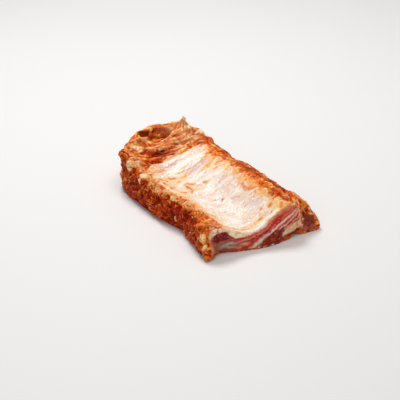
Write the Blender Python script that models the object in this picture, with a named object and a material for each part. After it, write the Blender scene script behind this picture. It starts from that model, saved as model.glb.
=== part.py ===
"""Rack of marinated pork ribs, bone side up: a meat body and the pale bone side laid in its dish.

Sizes are in millimetres and become metres when a mesh is written. In the shaping
functions t runs from the cut end to the far end, s from the thick left side to the
right side, and z up from the board. In the finished part +X points to the cut end.
"""
import math

import bmesh
import bpy
import numpy as np
from mathutils import Vector, noise

MM = 0.001

# Overall sizes
LENGTH = 236.0
MIDDLE_T = 115.2
MIDDLE_S = 64.65
GAP = 0.3
MEAT_COLOR = (0.60, 0.15, 0.04)
PLATE_COLOR = (0.86, 0.66, 0.54)

# Grid of the body: sections along the slab and closer ones at the folded end, points across a half
SLAB_SECTIONS = 34
SLAB_END = 180.0
FOLD_SECTIONS = 18
FOLD_START = 184.0
ACROSS = 34
SIDE_POINTS = 13
CAP_ROWS = 5

# Left side: foot on the board, shoulder on top, each as (t, value)
LEFT_FOOT = ((0, 2), (25, 3), (50, 8), (70, 9), (90, 4), (115, -1), (150, -2.5), (178, -4.5),
             (198, 0.5), (212, 9), (224, 20), (232, 34), (236, 48))
LEFT_SHOULDER = ((0, 13), (50, 15), (85, 9), (125, 6), (150, 6), (178, 6), (198, 9), (212, 19),
                 (224, 31), (232, 43), (236, 54))
SHOULDER_HEIGHT = ((0, 33), (60, 34), (120, 33), (150, 35), (175, 40), (195, 42), (212, 43),
                   (224, 42), (231, 34), (236, 20))

# Dish of the bone side and the ridge along its right side
DISH_SIDE = ((0, 52), (60, 50), (120, 47), (180, 44), (236, 60))
DISH_HEIGHT = ((0, 19.5), (60, 20), (120, 22), (165, 26), (184, 28), (205, 29), (225, 27), (236, 20))
FOLD_RISE = ((0, 0), (176, 0), (184, 1.5), (192, 6), (200, 9), (207, 8), (213, 10), (220, 17), (226, 16),
             (232, 9), (236, 1))
CREST_SIDE = ((0, 100), (60, 98), (120, 95), (180, 93), (205, 90), (225, 84), (236, 72))
CREST_HEIGHT = ((0, 37.5), (12, 42), (26, 45.5), (45, 45.5), (90, 43.5), (140, 39.5), (180, 39), (205, 41),
                (222, 44), (230, 36), (236, 20))

# Right side: outer rim and foot
RIGHT_RIM = ((0, 107), (60, 105.5), (140, 104), (180, 103), (205, 100), (222, 94), (232, 84), (236, 76))
RIM_DROP = 3.5
RIGHT_BULGE = ((0, 9), (14, 4), (40, 1), (236, 1))
RIGHT_FOOT = ((0, 97), (10, 104), (25, 117), (60, 126), (140, 125), (180, 121), (205, 113), (222, 101),
              (232, 88), (236, 80))

# Pale bone side
PLATE_LEFT = ((0, 21), (50, 21), (85, 15), (125, 12), (150, 14), (184, 20), (196, 26))
PLATE_RIGHT = ((0, 97), (60, 96), (120, 93), (184, 90), (196, 86))
PLATE_END = 188.0
PLATE_THICK = 5.2
PLATE_EDGE = 1.4
PLATE_ROWS = 34
PLATE_ACROSS = 22
LEFT_FEATHER = 14.0
RIGHT_FEATHER = 38.0

# Bed cut for the bone side: how far it runs out at the cut face and above the meat
BED_AHEAD = 12.0
BED_ABOVE = 3.0
BED_TURN = 176.0

# Ribs under the membrane
RIB_FIRST = 10.0
RIB_PITCH = 23.5
RIB_SLANT = 0.26
RIB_RISE = ((0, 0.5), (45, 0.9), (100, 1.6), (150, 2.2), (190, 2.2))
RIB_SHARPNESS = 0.7

# Crags of the marinated sides, as (size of the lumps, depth)
CRAGS = ((15.0, 2.0), (8.0, 1.3))
CRAG_SHIFT = 31.7
CRAG_EDGE = 6.0
FOLD_SHARE = 0.5
RIDGE_SHARE = 0.55

# Folds at the far end: rolls of meat as stations of (t, s, z, radius)
ROLL_SIDES = 12
FRONT_ROLL = ((172, 12, 31, 3.5), (180, 28, 28, 5.2), (186, 44, 27, 5.5), (184, 60, 28, 5.5),
              (181, 76, 32.5, 5.5), (178, 92, 37.5, 4))
SECOND_ROLL = ((190, 22, 33, 5), (195, 38, 34, 5.5), (199, 58, 35, 6), (197, 77, 38, 6), (190, 95, 39, 4.5))
THIRD_ROLL = ((204, 54, 37, 4.5), (210, 70, 40, 6), (210, 86, 43, 6), (199, 98, 40, 5))
HOOD_ROLL = ((188, 3, 35.5, 5.5), (200, 9, 38, 6.5), (211, 21, 40.5, 7.2), (219, 36, 45, 7.3), (223.5, 51, 46, 7.3),
             (225.5, 66, 43.5, 6.8), (225, 79, 44, 6), (222, 88, 45.5, 5.5))
PEAK_ROLL = ((225, 79, 42, 6), (222.5, 85, 48, 4.6), (221.5, 87.5, 54, 2.6), (221, 88.2, 58.5, 0.8))

# Lumps that stand out of the meat as (t, s, z) and half sizes
LUMPS = (((203, 95, 40), (8, 8.5, 7.5)), ((192, 0, 41), (8, 5, 4.5)), ((173, 1.5, 37), (5, 4.5, 7)),
         ((148, 2, 30), (4.5, 4.5, 6)), ((118, 6, 30), (5, 4, 4)), ((87, 10, 29), (4.5, 4, 4)),
         ((76, 9, 13), (3, 3.5, 4)), ((188, 102, 36), (5, 5, 5)))
LUMP_RINGS = 7
LUMP_SIDES = 10

# Hollows pressed into the folds as (t, s, z) and half sizes
HOLLOWS = (((214.5, 35, 49.5), (5.5, 8, 5)), ((216, 55, 45), (7, 15, 7)), ((190, 45, 34.5), (8, 9, 1.8)))

# Groove between the ridge and the outer skin near the cut end, as (t, s, z, radius)
GROOVE = ((64, 99.5, 46, 1.2), (42, 100, 46, 2.4), (20, 101.5, 46, 3), (4, 104.5, 45, 3), (-8, 108, 44, 2.6))

# Toe at the near left corner and flap at the near right corner
TOE = ((8, 12, 12, 8), (1, 6, 8, 7.5), (-3, 2.5, 4, 4), (-4.5, 1, 2.5, 2))
FLAP_START = 1.0
FLAP_LEAN = 0.3
FLAP_RUN = (0.0, 1.5, 15.0, 32.0, 50.0)
FLAP_SCALE = (0.88, 1.0, 1.0, 0.82, 0.5)
FLAP_OUTLINE = ((106, 2), (114, -2), (132, -2), (135.5, 4), (133.5, 11), (129.5, 19), (125, 28), (118.5, 33.5),
                (110, 37), (104, 30), (102, 16))
FLAP_ROOT = (108.0, 12.0)

# The cut face: it bulges at the foot in the middle and draws back near the left corner
FACE_REACH = 32.0
FACE_SHIFTS = ((-7.0, 68.0, 22.0, 30.0), (6.0, 22.0, 11.0, 20.0))

# Softening of the joined meat, and the depth that is cut off flat under it
SOFT_VOXEL = 2.1
SOFT_ROUNDS = 2
KEEP_SHARE = 0.175
UNDER = 2.0


def rail(stations):
    """Return a smooth function of t through a few (t, value) stations."""
    knots = np.array([p[0] for p in stations], float)
    values = np.array([p[1] for p in stations], float)
    slopes = np.gradient(values, knots)

    def at(t):
        t = np.clip(np.asarray(t, float), knots[0], knots[-1])
        i = np.clip(np.searchsorted(knots, t, side="right") - 1, 0, len(knots) - 2)
        step = knots[i + 1] - knots[i]
        w = (t - knots[i]) / step
        a = (1 + 2 * w) * (1 - w) ** 2
        b = w * (1 - w) ** 2
        c = w * w * (3 - 2 * w)
        d = w * w * (w - 1)
        return a * values[i] + b * step * slopes[i] + c * values[i + 1] + d * step * slopes[i + 1]

    return at


left_foot = rail(LEFT_FOOT)
left_shoulder = rail(LEFT_SHOULDER)
shoulder_height = rail(SHOULDER_HEIGHT)
dish_side = rail(DISH_SIDE)
rib_rise = rail(RIB_RISE)
dish_height = rail(DISH_HEIGHT)
fold_rise = rail(FOLD_RISE)
right_bulge = rail(RIGHT_BULGE)
crest_side = rail(CREST_SIDE)
crest_height = rail(CREST_HEIGHT)
right_rim = rail(RIGHT_RIM)
right_foot = rail(RIGHT_FOOT)
plate_left = rail(PLATE_LEFT)
plate_right = rail(PLATE_RIGHT)


def ease(w):
    """Smooth step from 0 to 1."""
    w = np.clip(w, 0.0, 1.0)
    return w * w * (3.0 - 2.0 * w)


def rib_relief(t, s):
    """Height of the ribs under the membrane, with the valleys between them."""
    phase = (t - RIB_FIRST - RIB_SLANT * (s - 50.0)) / RIB_PITCH
    wave = 0.5 + 0.5 * np.cos(2 * math.pi * phase)
    inside = ease((s - 16.0) / 22.0) * ease((104.0 - s) / 14.0)
    last = ease((186.0 - t) / 8.0)
    return rib_rise(t) * (wave ** RIB_SHARPNESS - 0.5) * inside * last


def top_height(t, s, folded=True):
    """Height of the upper surface between the left shoulder and the ridge."""
    low = dish_side(t)
    left = left_shoulder(t)
    right = crest_side(t)
    base = dish_height(t) + (fold_rise(t) if folded else 0.0)
    w = np.clip((low - s) / (low - left), 0, 1)
    v = np.clip((s - low) / (right - low), 0, 1)
    on_left = (shoulder_height(t) - base) * (0.55 * ease(w) + 0.45 * w ** 1.7)
    on_right = (crest_height(t) - base) * ease(v)
    return base + np.where(s < low, on_left, on_right) + rib_relief(t, s)


def curve(points, count):
    """Place points evenly along a smooth line through a few control points."""
    pts = np.array(points, float)
    steps = np.linalg.norm(np.diff(pts, axis=0), axis=1)
    knots = np.concatenate([[0.0], np.cumsum(steps)])
    where = np.linspace(0.0, knots[-1], count)
    cols = [rail(list(zip(knots, pts[:, k])))(where) for k in range(pts.shape[1])]
    return np.stack(cols, axis=1)


def section(t):
    """Upper and lower half of the body's cross-section at t, left to right."""
    foot, shoulder = float(left_foot(t)), float(left_shoulder(t))
    height = float(shoulder_height(t))
    rim, base = float(right_rim(t)), float(right_foot(t))
    crest, peak = float(crest_side(t)), float(crest_height(t))
    bulge = float(right_bulge(t))
    lean = shoulder - foot
    left = curve([(foot - 1.5, 0.33 * height), (foot - 1.0 + 0.15 * lean, 0.62 * height),
                  (foot + 0.45 * lean, 0.9 * height), (shoulder, height)], 7)
    across = np.linspace(shoulder, crest, ACROSS - SIDE_POINTS)[1:-1]
    top = np.stack([across, top_height(t, across)], axis=1)
    right = curve([(crest, peak), (rim, peak - RIM_DROP), (0.5 * (rim + base) + bulge, 0.54 * peak),
                   (base + 0.5 * bulge + 1.0, 0.22 * peak)], 8)
    upper = np.concatenate([left, top, right])
    under = np.linspace(foot + 2.0, base - 2.0, len(upper) - 4)
    arch = 0.0 * under - UNDER
    lower = np.concatenate([[upper[0]], [(foot - 0.5, 0.1 * height)], np.stack([under, arch], axis=1),
                            [(base + 1.0, 0.08 * peak)], [upper[-1]]])
    return upper, lower


def with_face(points):
    """Shape the cut face: lean parts of the first sections out or back."""
    out = points.copy()
    reach = ease(1.0 - points[:, 0] / FACE_REACH)
    for shift, middle, width, height in FACE_SHIFTS:
        near = np.exp(-((points[:, 1] - middle) / width) ** 2)
        out[:, 0] += shift * near * np.clip(1.0 - points[:, 2] / height, 0.0, 1.0) * reach
    return out


def make_object(name, points, faces, color, rough=0.4):
    """Write a closed mesh in metres, in the part's own frame, with its material."""
    pts = np.asarray(points, float)
    placed = np.stack([MIDDLE_T - pts[:, 0], pts[:, 1] - MIDDLE_S, pts[:, 2]], axis=1) * MM
    mesh = bpy.data.meshes.new(name)
    mesh.from_pydata([tuple(p) for p in placed], [], [tuple(int(i) for i in f) for f in faces])
    mesh.update()
    obj = bpy.data.objects.new(name, mesh)
    bpy.context.scene.collection.objects.link(obj)
    material = bpy.data.materials.get(name) or bpy.data.materials.new(name)
    material.use_nodes = True
    shader = material.node_tree.nodes["Principled BSDF"]
    shader.inputs["Base Color"].default_value = (*color, 1.0)
    shader.inputs["Roughness"].default_value = rough
    mesh.materials.append(material)
    return obj


def body_mesh():
    """Closed loft of the meat body: rings along the length and a gridded cap at each end."""
    stations = np.concatenate([np.linspace(0, SLAB_END, SLAB_SECTIONS),
                               np.linspace(FOLD_START, LENGTH, FOLD_SECTIONS)])
    rings, points, faces = [], [], []
    for t in stations:
        upper, lower = section(t)
        ring = np.concatenate([upper, lower[-2:0:-1]])
        pts = np.column_stack([np.full(len(ring), t), ring])
        rings.append(with_face(pts))
    count = len(rings[0])
    for ring in rings:
        points.extend(ring)
    for i in range(len(rings) - 1):
        a, b = i * count, (i + 1) * count
        for j in range(count):
            k = (j + 1) % count
            faces.append((a + j, a + k, b + k, b + j))
    for end, flip in ((0, True), (len(rings) - 1, False)):
        cap_faces(points, faces, end * count, count, flip)
    return np.array(points), faces


def cap_faces(points, faces, start, count, flip):
    """Fill one end with rows of points between its upper and lower half."""
    half = count // 2 + 1
    upper = [start + j for j in range(half)]
    lower = [start] + [start + count - j for j in range(1, half - 1)] + [start + half - 1]
    rows = [upper]
    for r in range(1, CAP_ROWS):
        w = r / CAP_ROWS
        row = [upper[0]]
        for j in range(1, half - 1):
            p = (1 - w) * np.asarray(points[upper[j]]) + w * np.asarray(points[lower[j]])
            points.append(p)
            row.append(len(points) - 1)
        row.append(upper[-1])
        rows.append(row)
    rows.append(lower)
    for top, low in zip(rows[:-1], rows[1:]):
        for j in range(half - 1):
            quad = (top[j], top[j + 1], low[j + 1], low[j])
            corners = []
            for c in quad:
                if c not in corners:
                    corners.append(c)
            faces.append(tuple(corners[::-1] if flip else corners))


def loft(rings):
    """Closed mesh through equal rings of points, with a fan over each end."""
    points, faces = [], []
    count = len(rings[0])
    for ring in rings:
        points.extend(ring)
    for i in range(len(rings) - 1):
        a, b = i * count, (i + 1) * count
        for j in range(count):
            k = (j + 1) % count
            faces.append((a + j, a + k, b + k, b + j))
    for ring, start, flip in ((rings[0], 0, True), (rings[-1], (len(rings) - 1) * count, False)):
        points.append(np.mean(ring, axis=0))
        hub = len(points) - 1
        for j in range(count):
            k = (j + 1) % count
            faces.append((start + k, start + j, hub) if flip else (start + j, start + k, hub))
    return np.array(points), faces


def roll_mesh(stations):
    """Round roll of meat that follows its stations, with rounded ends."""
    knots = np.array(stations, float)
    fine = curve(knots, 3 * len(knots))
    path, radii = fine[:, :3], fine[:, 3]
    ahead = np.gradient(path, axis=0)
    ahead /= np.linalg.norm(ahead, axis=1)[:, None]
    ends = ((0, -0.85, 0.5), (0, -0.5, 0.85)), ((-1, 0.5, 0.85), (-1, 0.85, 0.5))
    stops = [(path[i] + ahead[i] * radii[i] * shift, ahead[i], radii[i] * size)
             for i, shift, size in ends[0]]
    stops += list(zip(path, ahead, radii))
    stops += [(path[i] + ahead[i] * radii[i] * shift, ahead[i], radii[i] * size) for i, shift, size in ends[1]]
    rings = []
    for middle, forward, radius in stops:
        side = np.cross(forward, (0.0, 0.0, 1.0))
        if np.linalg.norm(side) < 0.2:
            side = np.cross(forward, (1.0, 0.0, 0.0))
        side /= np.linalg.norm(side)
        rise = np.cross(side, forward)
        turn = np.linspace(0, 2 * math.pi, ROLL_SIDES, endpoint=False)
        ring = middle + radius * (np.cos(turn)[:, None] * side + np.sin(turn)[:, None] * rise)
        ring[:, 2] = np.maximum(ring[:, 2], -UNDER)
        rings.append(ring)
    return loft(rings)


def lump_mesh(middle, half):
    """Egg-shaped lump given by its middle and half sizes."""
    rings = []
    for lift in np.linspace(-0.93, 0.93, LUMP_RINGS):
        around = math.sqrt(1.0 - lift * lift)
        turn = np.linspace(0, 2 * math.pi, LUMP_SIDES, endpoint=False)
        unit = np.stack([np.cos(turn) * around, np.sin(turn) * around, np.full(LUMP_SIDES, lift)], axis=1)
        rings.append(np.array(middle) + unit * np.array(half))
    return loft(rings)


def flap_mesh():
    """Flap of skin and meat at the near right corner, tapering back into the side."""
    outline = np.array(FLAP_OUTLINE, float)
    root = np.array(FLAP_ROOT)
    rings = []
    for run, scale in zip(FLAP_RUN, FLAP_SCALE):
        shape = root + (outline - root) * scale
        place = FLAP_START + run + FLAP_LEAN * shape[:, 1]
        rings.append(np.column_stack([place, shape]))
    return loft([ring[::-1] for ring in rings])


def plate_thickness(t, s):
    """Thickness of the pale side: full over the dish, thin at the rims."""
    left, right = plate_left(t), plate_right(t)
    from_left = ease((s - left) / LEFT_FEATHER)
    from_right = ease((right - s) / RIGHT_FEATHER)
    return PLATE_EDGE + (PLATE_THICK - PLATE_EDGE) * from_left * from_right


def plate_mesh(grow=0.0, ahead=0.0, above=0.0):
    """Closed slab of the pale bone side. Grown by the gap it is the shape cut from the meat."""
    stations = np.linspace(0.0, PLATE_END, PLATE_ROWS)
    top, low = [], []
    for t in stations:
        s = np.linspace(float(plate_left(t)), float(plate_right(t)), PLATE_ACROSS)
        upper = top_height(t, s, folded=False)
        lower = upper - plate_thickness(t, s)
        far = t >= BED_TURN
        where = np.full(len(s), t)
        across = s.copy()
        across[0] -= grow
        across[-1] += grow
        top.append(with_face(np.column_stack([where, across, upper])))
        low.append(with_face(np.column_stack([where, across, lower])))
        top[-1][:, 2] += grow + (0.0 if far else above)
        low[-1][:, 2] -= grow
    for rows in (top, low):
        rows[-1][:, 0] += grow
        if ahead:
            rows.insert(0, rows[0] - np.array([ahead, 0.0, 0.0]))
    return slab(np.array(top), np.array(low))


def slab(top, low):
    """Closed mesh between two grids of points."""
    rows, cols = top.shape[:2]
    points = list(top.reshape(-1, 3)) + list(low.reshape(-1, 3))
    shift = rows * cols
    faces = []
    for i in range(rows - 1):
        for j in range(cols - 1):
            a, b, c, d = i * cols + j, i * cols + j + 1, (i + 1) * cols + j + 1, (i + 1) * cols + j
            faces.append((a, b, c, d))
            faces.append((shift + d, shift + c, shift + b, shift + a))
    for i in range(rows - 1):
        for j, flip in ((0, False), (cols - 1, True)):
            a, b = i * cols + j, (i + 1) * cols + j
            quad = (a, b, shift + b, shift + a)
            faces.append(quad[::-1] if flip else quad)
    for j in range(cols - 1):
        for i, flip in ((0, True), (rows - 1, False)):
            a, b = i * cols + j, i * cols + j + 1
            quad = (a, b, shift + b, shift + a)
            faces.append(quad[::-1] if flip else quad)
    return np.array(points), faces


def outward(obj):
    """Turn every face of a closed mesh outward."""
    shape = bmesh.new()
    shape.from_mesh(obj.data)
    bmesh.ops.recalc_face_normals(shape, faces=shape.faces)
    if shape.calc_volume(signed=True) < 0:
        bmesh.ops.reverse_faces(shape, faces=shape.faces)
    shape.to_mesh(obj.data)
    shape.free()


def apply_modifiers(body):
    """Replace a mesh by its own shape with the modifiers done."""
    graph = bpy.context.evaluated_depsgraph_get()
    shaped = bpy.data.meshes.new_from_object(body.evaluated_get(graph))
    body.modifiers.clear()
    body.data = shaped


def combine(body, pieces, operation):
    """Join or cut a set of pieces in one Boolean, apply it and remove the pieces."""
    group = bpy.data.collections.new("pieces")
    bpy.context.scene.collection.children.link(group)
    for piece in pieces:
        bpy.context.scene.collection.objects.unlink(piece)
        group.objects.link(piece)
    step = body.modifiers.new("combine", "BOOLEAN")
    step.operation = operation
    step.solver = "MANIFOLD"
    step.operand_type = "COLLECTION"
    step.collection = group
    apply_modifiers(body)
    for piece in pieces:
        bpy.data.objects.remove(piece)
    bpy.data.collections.remove(group)


def crag_share(t, s, z):
    """How far a point is roughened: not on the bone side, the cut face or the underside."""
    off_plate = max(plate_left(t) - s, s - plate_right(t), t - PLATE_END + 4.0)
    share = ease(off_plate / CRAG_EDGE) * ease((t - 4.0) / 8.0) * ease((z - 0.5) / 4.0)
    folds = 1.0 - (1.0 - FOLD_SHARE) * ease((t - 178.0) / 8.0) * ease((s - 14.0) / 10.0)
    ridge = 1.0 - (1.0 - RIDGE_SHARE) * ease((s - 90.0) / 8.0) * ease((z - 30.0) / 8.0)
    return float(share * folds * ridge)


def roughen(body):
    """Push the marinated sides in and out by smooth lumps of two sizes."""
    for point in body.data.vertices:
        t, s, z = MIDDLE_T - point.co.x / MM, point.co.y / MM + MIDDLE_S, point.co.z / MM
        share = crag_share(t, s, z)
        if share > 0.0:
            where = Vector((t + CRAG_SHIFT, s, z))
            depth = sum(deep * noise.noise(where / size) for size, deep in CRAGS)
            point.co += point.normal * (2.0 * depth * share * MM)
    body.data.update()


def soften(body):
    """Melt the joined forms into one skin, roughen it and keep it light."""
    skin = body.modifiers.new("skin", "REMESH")
    skin.mode = "VOXEL"
    skin.voxel_size = SOFT_VOXEL * MM
    relax = body.modifiers.new("relax", "SMOOTH")
    relax.factor = 0.5
    relax.iterations = SOFT_ROUNDS
    apply_modifiers(body)
    roughen(body)
    light = body.modifiers.new("light", "DECIMATE")
    light.ratio = KEEP_SHARE
    apply_modifiers(body)


def underside():
    """Block below the board line that leaves the meat a flat underside."""
    corners = [(t, s, z) for t in (-30.0, LENGTH + 30.0) for s in (-30.0, 160.0) for z in (-10.0, 0.0)]
    faces = [(0, 1, 3, 2), (4, 6, 7, 5), (0, 4, 5, 1), (2, 3, 7, 6), (0, 2, 6, 4), (1, 5, 7, 3)]
    return np.array(corners), faces


def solid(name, built, color, rough=0.4):
    """Make an object from points and faces and face it outward."""
    obj = make_object(name, built[0], built[1], color, rough)
    outward(obj)
    return obj


def main():
    for obj in list(bpy.data.objects):
        bpy.data.objects.remove(obj)
    meat = solid("meat", body_mesh(), MEAT_COLOR)
    rolls = (FRONT_ROLL, SECOND_ROLL, THIRD_ROLL, HOOD_ROLL, PEAK_ROLL, TOE)
    added = [solid("roll", roll_mesh(path), MEAT_COLOR) for path in rolls]
    added += [solid("lump", lump_mesh(middle, half), MEAT_COLOR) for middle, half in LUMPS]
    added.append(solid("flap", flap_mesh(), MEAT_COLOR))
    combine(meat, added, "UNION")
    soften(meat)
    taken = [solid("hollow", lump_mesh(middle, half), MEAT_COLOR) for middle, half in HOLLOWS]
    taken.append(solid("groove", roll_mesh(GROOVE), MEAT_COLOR))
    taken.append(solid("bed", plate_mesh(GAP, BED_AHEAD, BED_ABOVE), MEAT_COLOR))
    taken.append(solid("board line", underside(), MEAT_COLOR))
    combine(meat, taken, "DIFFERENCE")
    solid("rib_plate", plate_mesh(), PLATE_COLOR, 0.35)


main()
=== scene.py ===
import logging
import math
from contextlib import contextmanager
from dataclasses import dataclass, replace
from enum import Enum
from itertools import product
from typing import Callable, Iterator, Sequence

import bmesh
import bpy
import numpy as np
from mathutils import Matrix, Vector
from mathutils.bvhtree import BVHTree


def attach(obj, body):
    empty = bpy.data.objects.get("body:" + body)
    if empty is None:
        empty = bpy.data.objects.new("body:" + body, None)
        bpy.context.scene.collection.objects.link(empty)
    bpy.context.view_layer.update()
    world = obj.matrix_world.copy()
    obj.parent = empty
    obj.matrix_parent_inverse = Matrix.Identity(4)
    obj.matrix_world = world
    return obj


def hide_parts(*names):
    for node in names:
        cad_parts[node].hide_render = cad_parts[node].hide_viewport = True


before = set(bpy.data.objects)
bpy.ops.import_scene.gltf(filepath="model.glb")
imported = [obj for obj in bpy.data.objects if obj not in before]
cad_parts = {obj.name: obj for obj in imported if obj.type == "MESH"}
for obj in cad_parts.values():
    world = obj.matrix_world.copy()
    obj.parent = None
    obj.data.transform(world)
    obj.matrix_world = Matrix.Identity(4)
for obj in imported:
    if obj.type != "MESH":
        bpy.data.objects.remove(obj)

# Rack of marinated pork ribs, bone side up. Sizes are in millimetres; t runs from the cut end to
# the far end, s from the thick left side to the right side, and z up from the floor.

LOG = logging.getLogger("ribs")
MM = 0.001

Color = tuple[float, float, float]
Flat = tuple[float, float]
Spot = tuple[float, float, float]
Path = tuple[Flat, ...]
Stations = Sequence[Flat]
Socket = bpy.types.NodeSocket


def ease(w: np.ndarray) -> np.ndarray:
    """Smooth step from 0 to 1."""
    w = np.clip(w, 0.0, 1.0)
    return w * w * (3.0 - 2.0 * w)


def rise(where: np.ndarray, zero: float, one: float) -> np.ndarray:
    """Smooth step along a measure, from 0 at one value to 1 at another, which may be the smaller."""
    return ease((where - zero) / (one - zero))


def linear(color: Color) -> np.ndarray:
    """Turn a display colour of 0 to 255 into linear light."""
    c = np.asarray(color, float) / 255.0
    return np.where(c <= 0.04045, c / 12.92, ((c + 0.055) / 1.055) ** 2.4)


def away(places: np.ndarray, middle: Sequence[float], half: Sequence[float]) -> np.ndarray:
    """Distance of each place from the middle of a round patch, 1 at its rim."""
    return np.linalg.norm((places - np.array(middle)) / np.array(half), axis=1)


def near(places: np.ndarray, middle: Sequence[float], half: Sequence[float]) -> np.ndarray:
    """Soft round patch, 1 in its middle."""
    return np.exp(-away(places, middle, half) ** 2)


class Rail:
    """Smooth function of one length through a few stations."""

    def __init__(self, stations: Stations) -> None:
        """Keep the stations and their slopes.

        Args:
            stations: pairs of place and value, in rising order of place.
        """
        self.knots = np.array([p[0] for p in stations], float)
        self.values = np.array([p[1] for p in stations], float)
        self.slopes = np.gradient(self.values, self.knots)

    def __call__(self, where: np.ndarray) -> np.ndarray:
        """Read the function.

        Args:
            where: places, clipped to the first and last station.

        Returns:
            The value at each place.
        """
        t = np.clip(np.asarray(where, float), self.knots[0], self.knots[-1])
        i = np.clip(np.searchsorted(self.knots, t, side="right") - 1, 0, len(self.knots) - 2)
        step = self.knots[i + 1] - self.knots[i]
        w = (t - self.knots[i]) / step
        first = (1 + 2 * w) * (1 - w) ** 2 * self.values[i] + w * (1 - w) ** 2 * step * self.slopes[i]
        last = w * w * (3 - 2 * w) * self.values[i + 1] + w * w * (w - 1) * step * self.slopes[i + 1]
        return first + last


class Noise:
    """Smooth gradient noise in space, the same on every run.

    Its sizes are the swing of the noise, how far crumbs stray from their lattice, and their reach.
    """

    swing = 1.6
    scatter = 0.42
    crumb = 0.85

    def __init__(self, seed: int) -> None:
        """Make the lattice.

        Args:
            seed: number that fixes the pattern.
        """
        random = np.random.default_rng(seed)
        order = random.permutation(256)
        self.order = np.concatenate([order, order, order])
        arrows = random.normal(size=(256, 3))
        self.arrows = arrows / np.linalg.norm(arrows, axis=1)[:, None]

    def _cell(self, base: np.ndarray, step: Sequence[int]) -> np.ndarray:
        """Number of the lattice point that lies a step away from each base."""
        cell = np.zeros(len(base), int)
        for axis in range(3):
            cell = self.order[cell + ((base[:, axis] + step[axis]) & 255)]
        return cell

    def at(self, points: np.ndarray) -> np.ndarray:
        """Noise of about -1 to 1 at unit size.

        Args:
            points: places, one row each.

        Returns:
            One value for each place.
        """
        base = np.floor(points).astype(int)
        part = points - base
        soft = part ** 3 * (part * (part * 6 - 15) + 10)
        total = np.zeros(len(points))
        for corner in product((0, 1), repeat=3):
            dot = np.einsum("ij,ij->i", self.arrows[self._cell(base, corner)], part - np.array(corner))
            weights = [soft[:, axis] if step else 1 - soft[:, axis] for axis, step in enumerate(corner)]
            total += dot * weights[0] * weights[1] * weights[2]
        return total * self.swing

    def drawn(self, points: np.ndarray, *sizes: float) -> np.ndarray:
        """Noise drawn out to a size of its own along each of the three axes."""
        return self.at(points / np.array(sizes))

    def cloud(self, points: np.ndarray, size: float, octaves: int = 2) -> np.ndarray:
        """Sum of finer and finer noise.

        Args:
            points: places in millimetres.
            size: width of the largest lumps.
            octaves: how many sizes are summed.

        Returns:
            One value of about -1 to 1 for each place.
        """
        total, weight, sum_of = np.zeros(len(points)), 1.0, 0.0
        for level in range(octaves):
            total += weight * self.at(points / size * 2.0 ** level + 17.3 * level)
            sum_of += weight
            weight *= 0.5
        return total / sum_of

    def ridges(self, points: np.ndarray, size: float) -> np.ndarray:
        """Rounded lumps between sharp grooves, -1 in a groove and 1 on a lump."""
        return 2.0 * np.minimum(np.abs(self.at(points / size)) * 2.4, 1.0) - 1.0

    def pebbles(self, points: np.ndarray, size: float) -> np.ndarray:
        """Round crumbs of uneven size pressed together.

        Args:
            points: places in millimetres.
            size: usual distance from crumb to crumb.

        Returns:
            1 on the middle of a crumb and -1 between crumbs, for each place.
        """
        q = points / size
        base = np.floor(q).astype(int)
        nearest = np.full(len(q), 9.0)
        for step in product((-1, 0, 1), repeat=3):
            middle = base + np.array(step) + 0.5 + self.scatter * self.arrows[self._cell(base, step)]
            nearest = np.minimum(nearest, np.linalg.norm(q - middle, axis=1))
        return np.clip(1.0 - 2.0 * nearest / self.crumb, -1.0, 1.0)

    def shift(self, points: np.ndarray, size: float, reach: float) -> np.ndarray:
        """Move each place a little, so that a pattern read there looks torn."""
        turns = [self.at(points / size + 31.7 * (axis + 1)) for axis in range(3)]
        return points + reach * np.stack(turns, axis=1)


class Ramp:
    """Colours from the hollows to the crests of a surface."""

    def __init__(self, stops: Sequence[tuple[float, Color]]) -> None:
        """Keep the stops.

        Args:
            stops: pairs of height and display colour, in rising order.
        """
        self.heights = np.array([s[0] for s in stops])
        self.colors = np.array([linear(s[1]) for s in stops])

    def __call__(self, height: np.ndarray) -> np.ndarray:
        """Colour at each height, as rows of linear light."""
        return np.stack([np.interp(height, self.heights, self.colors[:, k]) for k in range(3)], axis=1)


class Tone(Enum):
    """Looks of the marinated surface, from bare spice paste to fat with a little paste on it."""

    DEEP = 0
    ORANGE = 1
    FATTY = 2


# Each ramp runs from the hollows to the crests of the marinated surface. Besides the paste's own colour, the
# darker reds in the hollows are painted shade, and the pale creams on the crests are painted highlights.
MARINADE = {
    Tone.DEEP: Ramp(((-1.0, (96, 8, 0)), (-0.5, (134, 20, 0)), (0.0, (170, 28, 0)),
                     (0.35, (200, 52, 0)), (0.7, (232, 96, 8)), (1.0, (252, 156, 52)))),
    Tone.ORANGE: Ramp(((-1.0, (136, 20, 0)), (-0.5, (188, 52, 2)), (0.0, (228, 104, 24)),
                       (0.35, (246, 156, 64)), (0.7, (255, 210, 130)), (1.0, (255, 244, 204)))),
    Tone.FATTY: Ramp(((-1.0, (146, 54, 14)), (-0.5, (200, 110, 52)), (0.0, (228, 160, 100)),
                      (0.35, (244, 194, 136)), (0.7, (252, 222, 176)), (1.0, (255, 244, 222)))),
}


@dataclass(frozen=True)
class RackFrame:
    """Where the rack lies in the row frame."""

    middle_t: float = 115.2
    middle_s: float = 64.65

    def to_rack(self, places: np.ndarray) -> np.ndarray:
        """Turn metres in the row frame into t, s and z in millimetres."""
        p = places / MM
        return np.stack([self.middle_t - p[:, 0], p[:, 1] + self.middle_s, p[:, 2]], axis=1)

    def to_row(self, points: np.ndarray) -> np.ndarray:
        """Turn t, s and z in millimetres into metres in the row frame."""
        p = np.asarray(points, float)
        return np.stack([self.middle_t - p[:, 0], p[:, 1] - self.middle_s, p[:, 2]], axis=1) * MM

    def arrows_to_rack(self, arrows: np.ndarray) -> np.ndarray:
        """Turn directions in the row frame into directions along t, s and z."""
        return arrows * np.array([-1.0, 1.0, 1.0])


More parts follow.
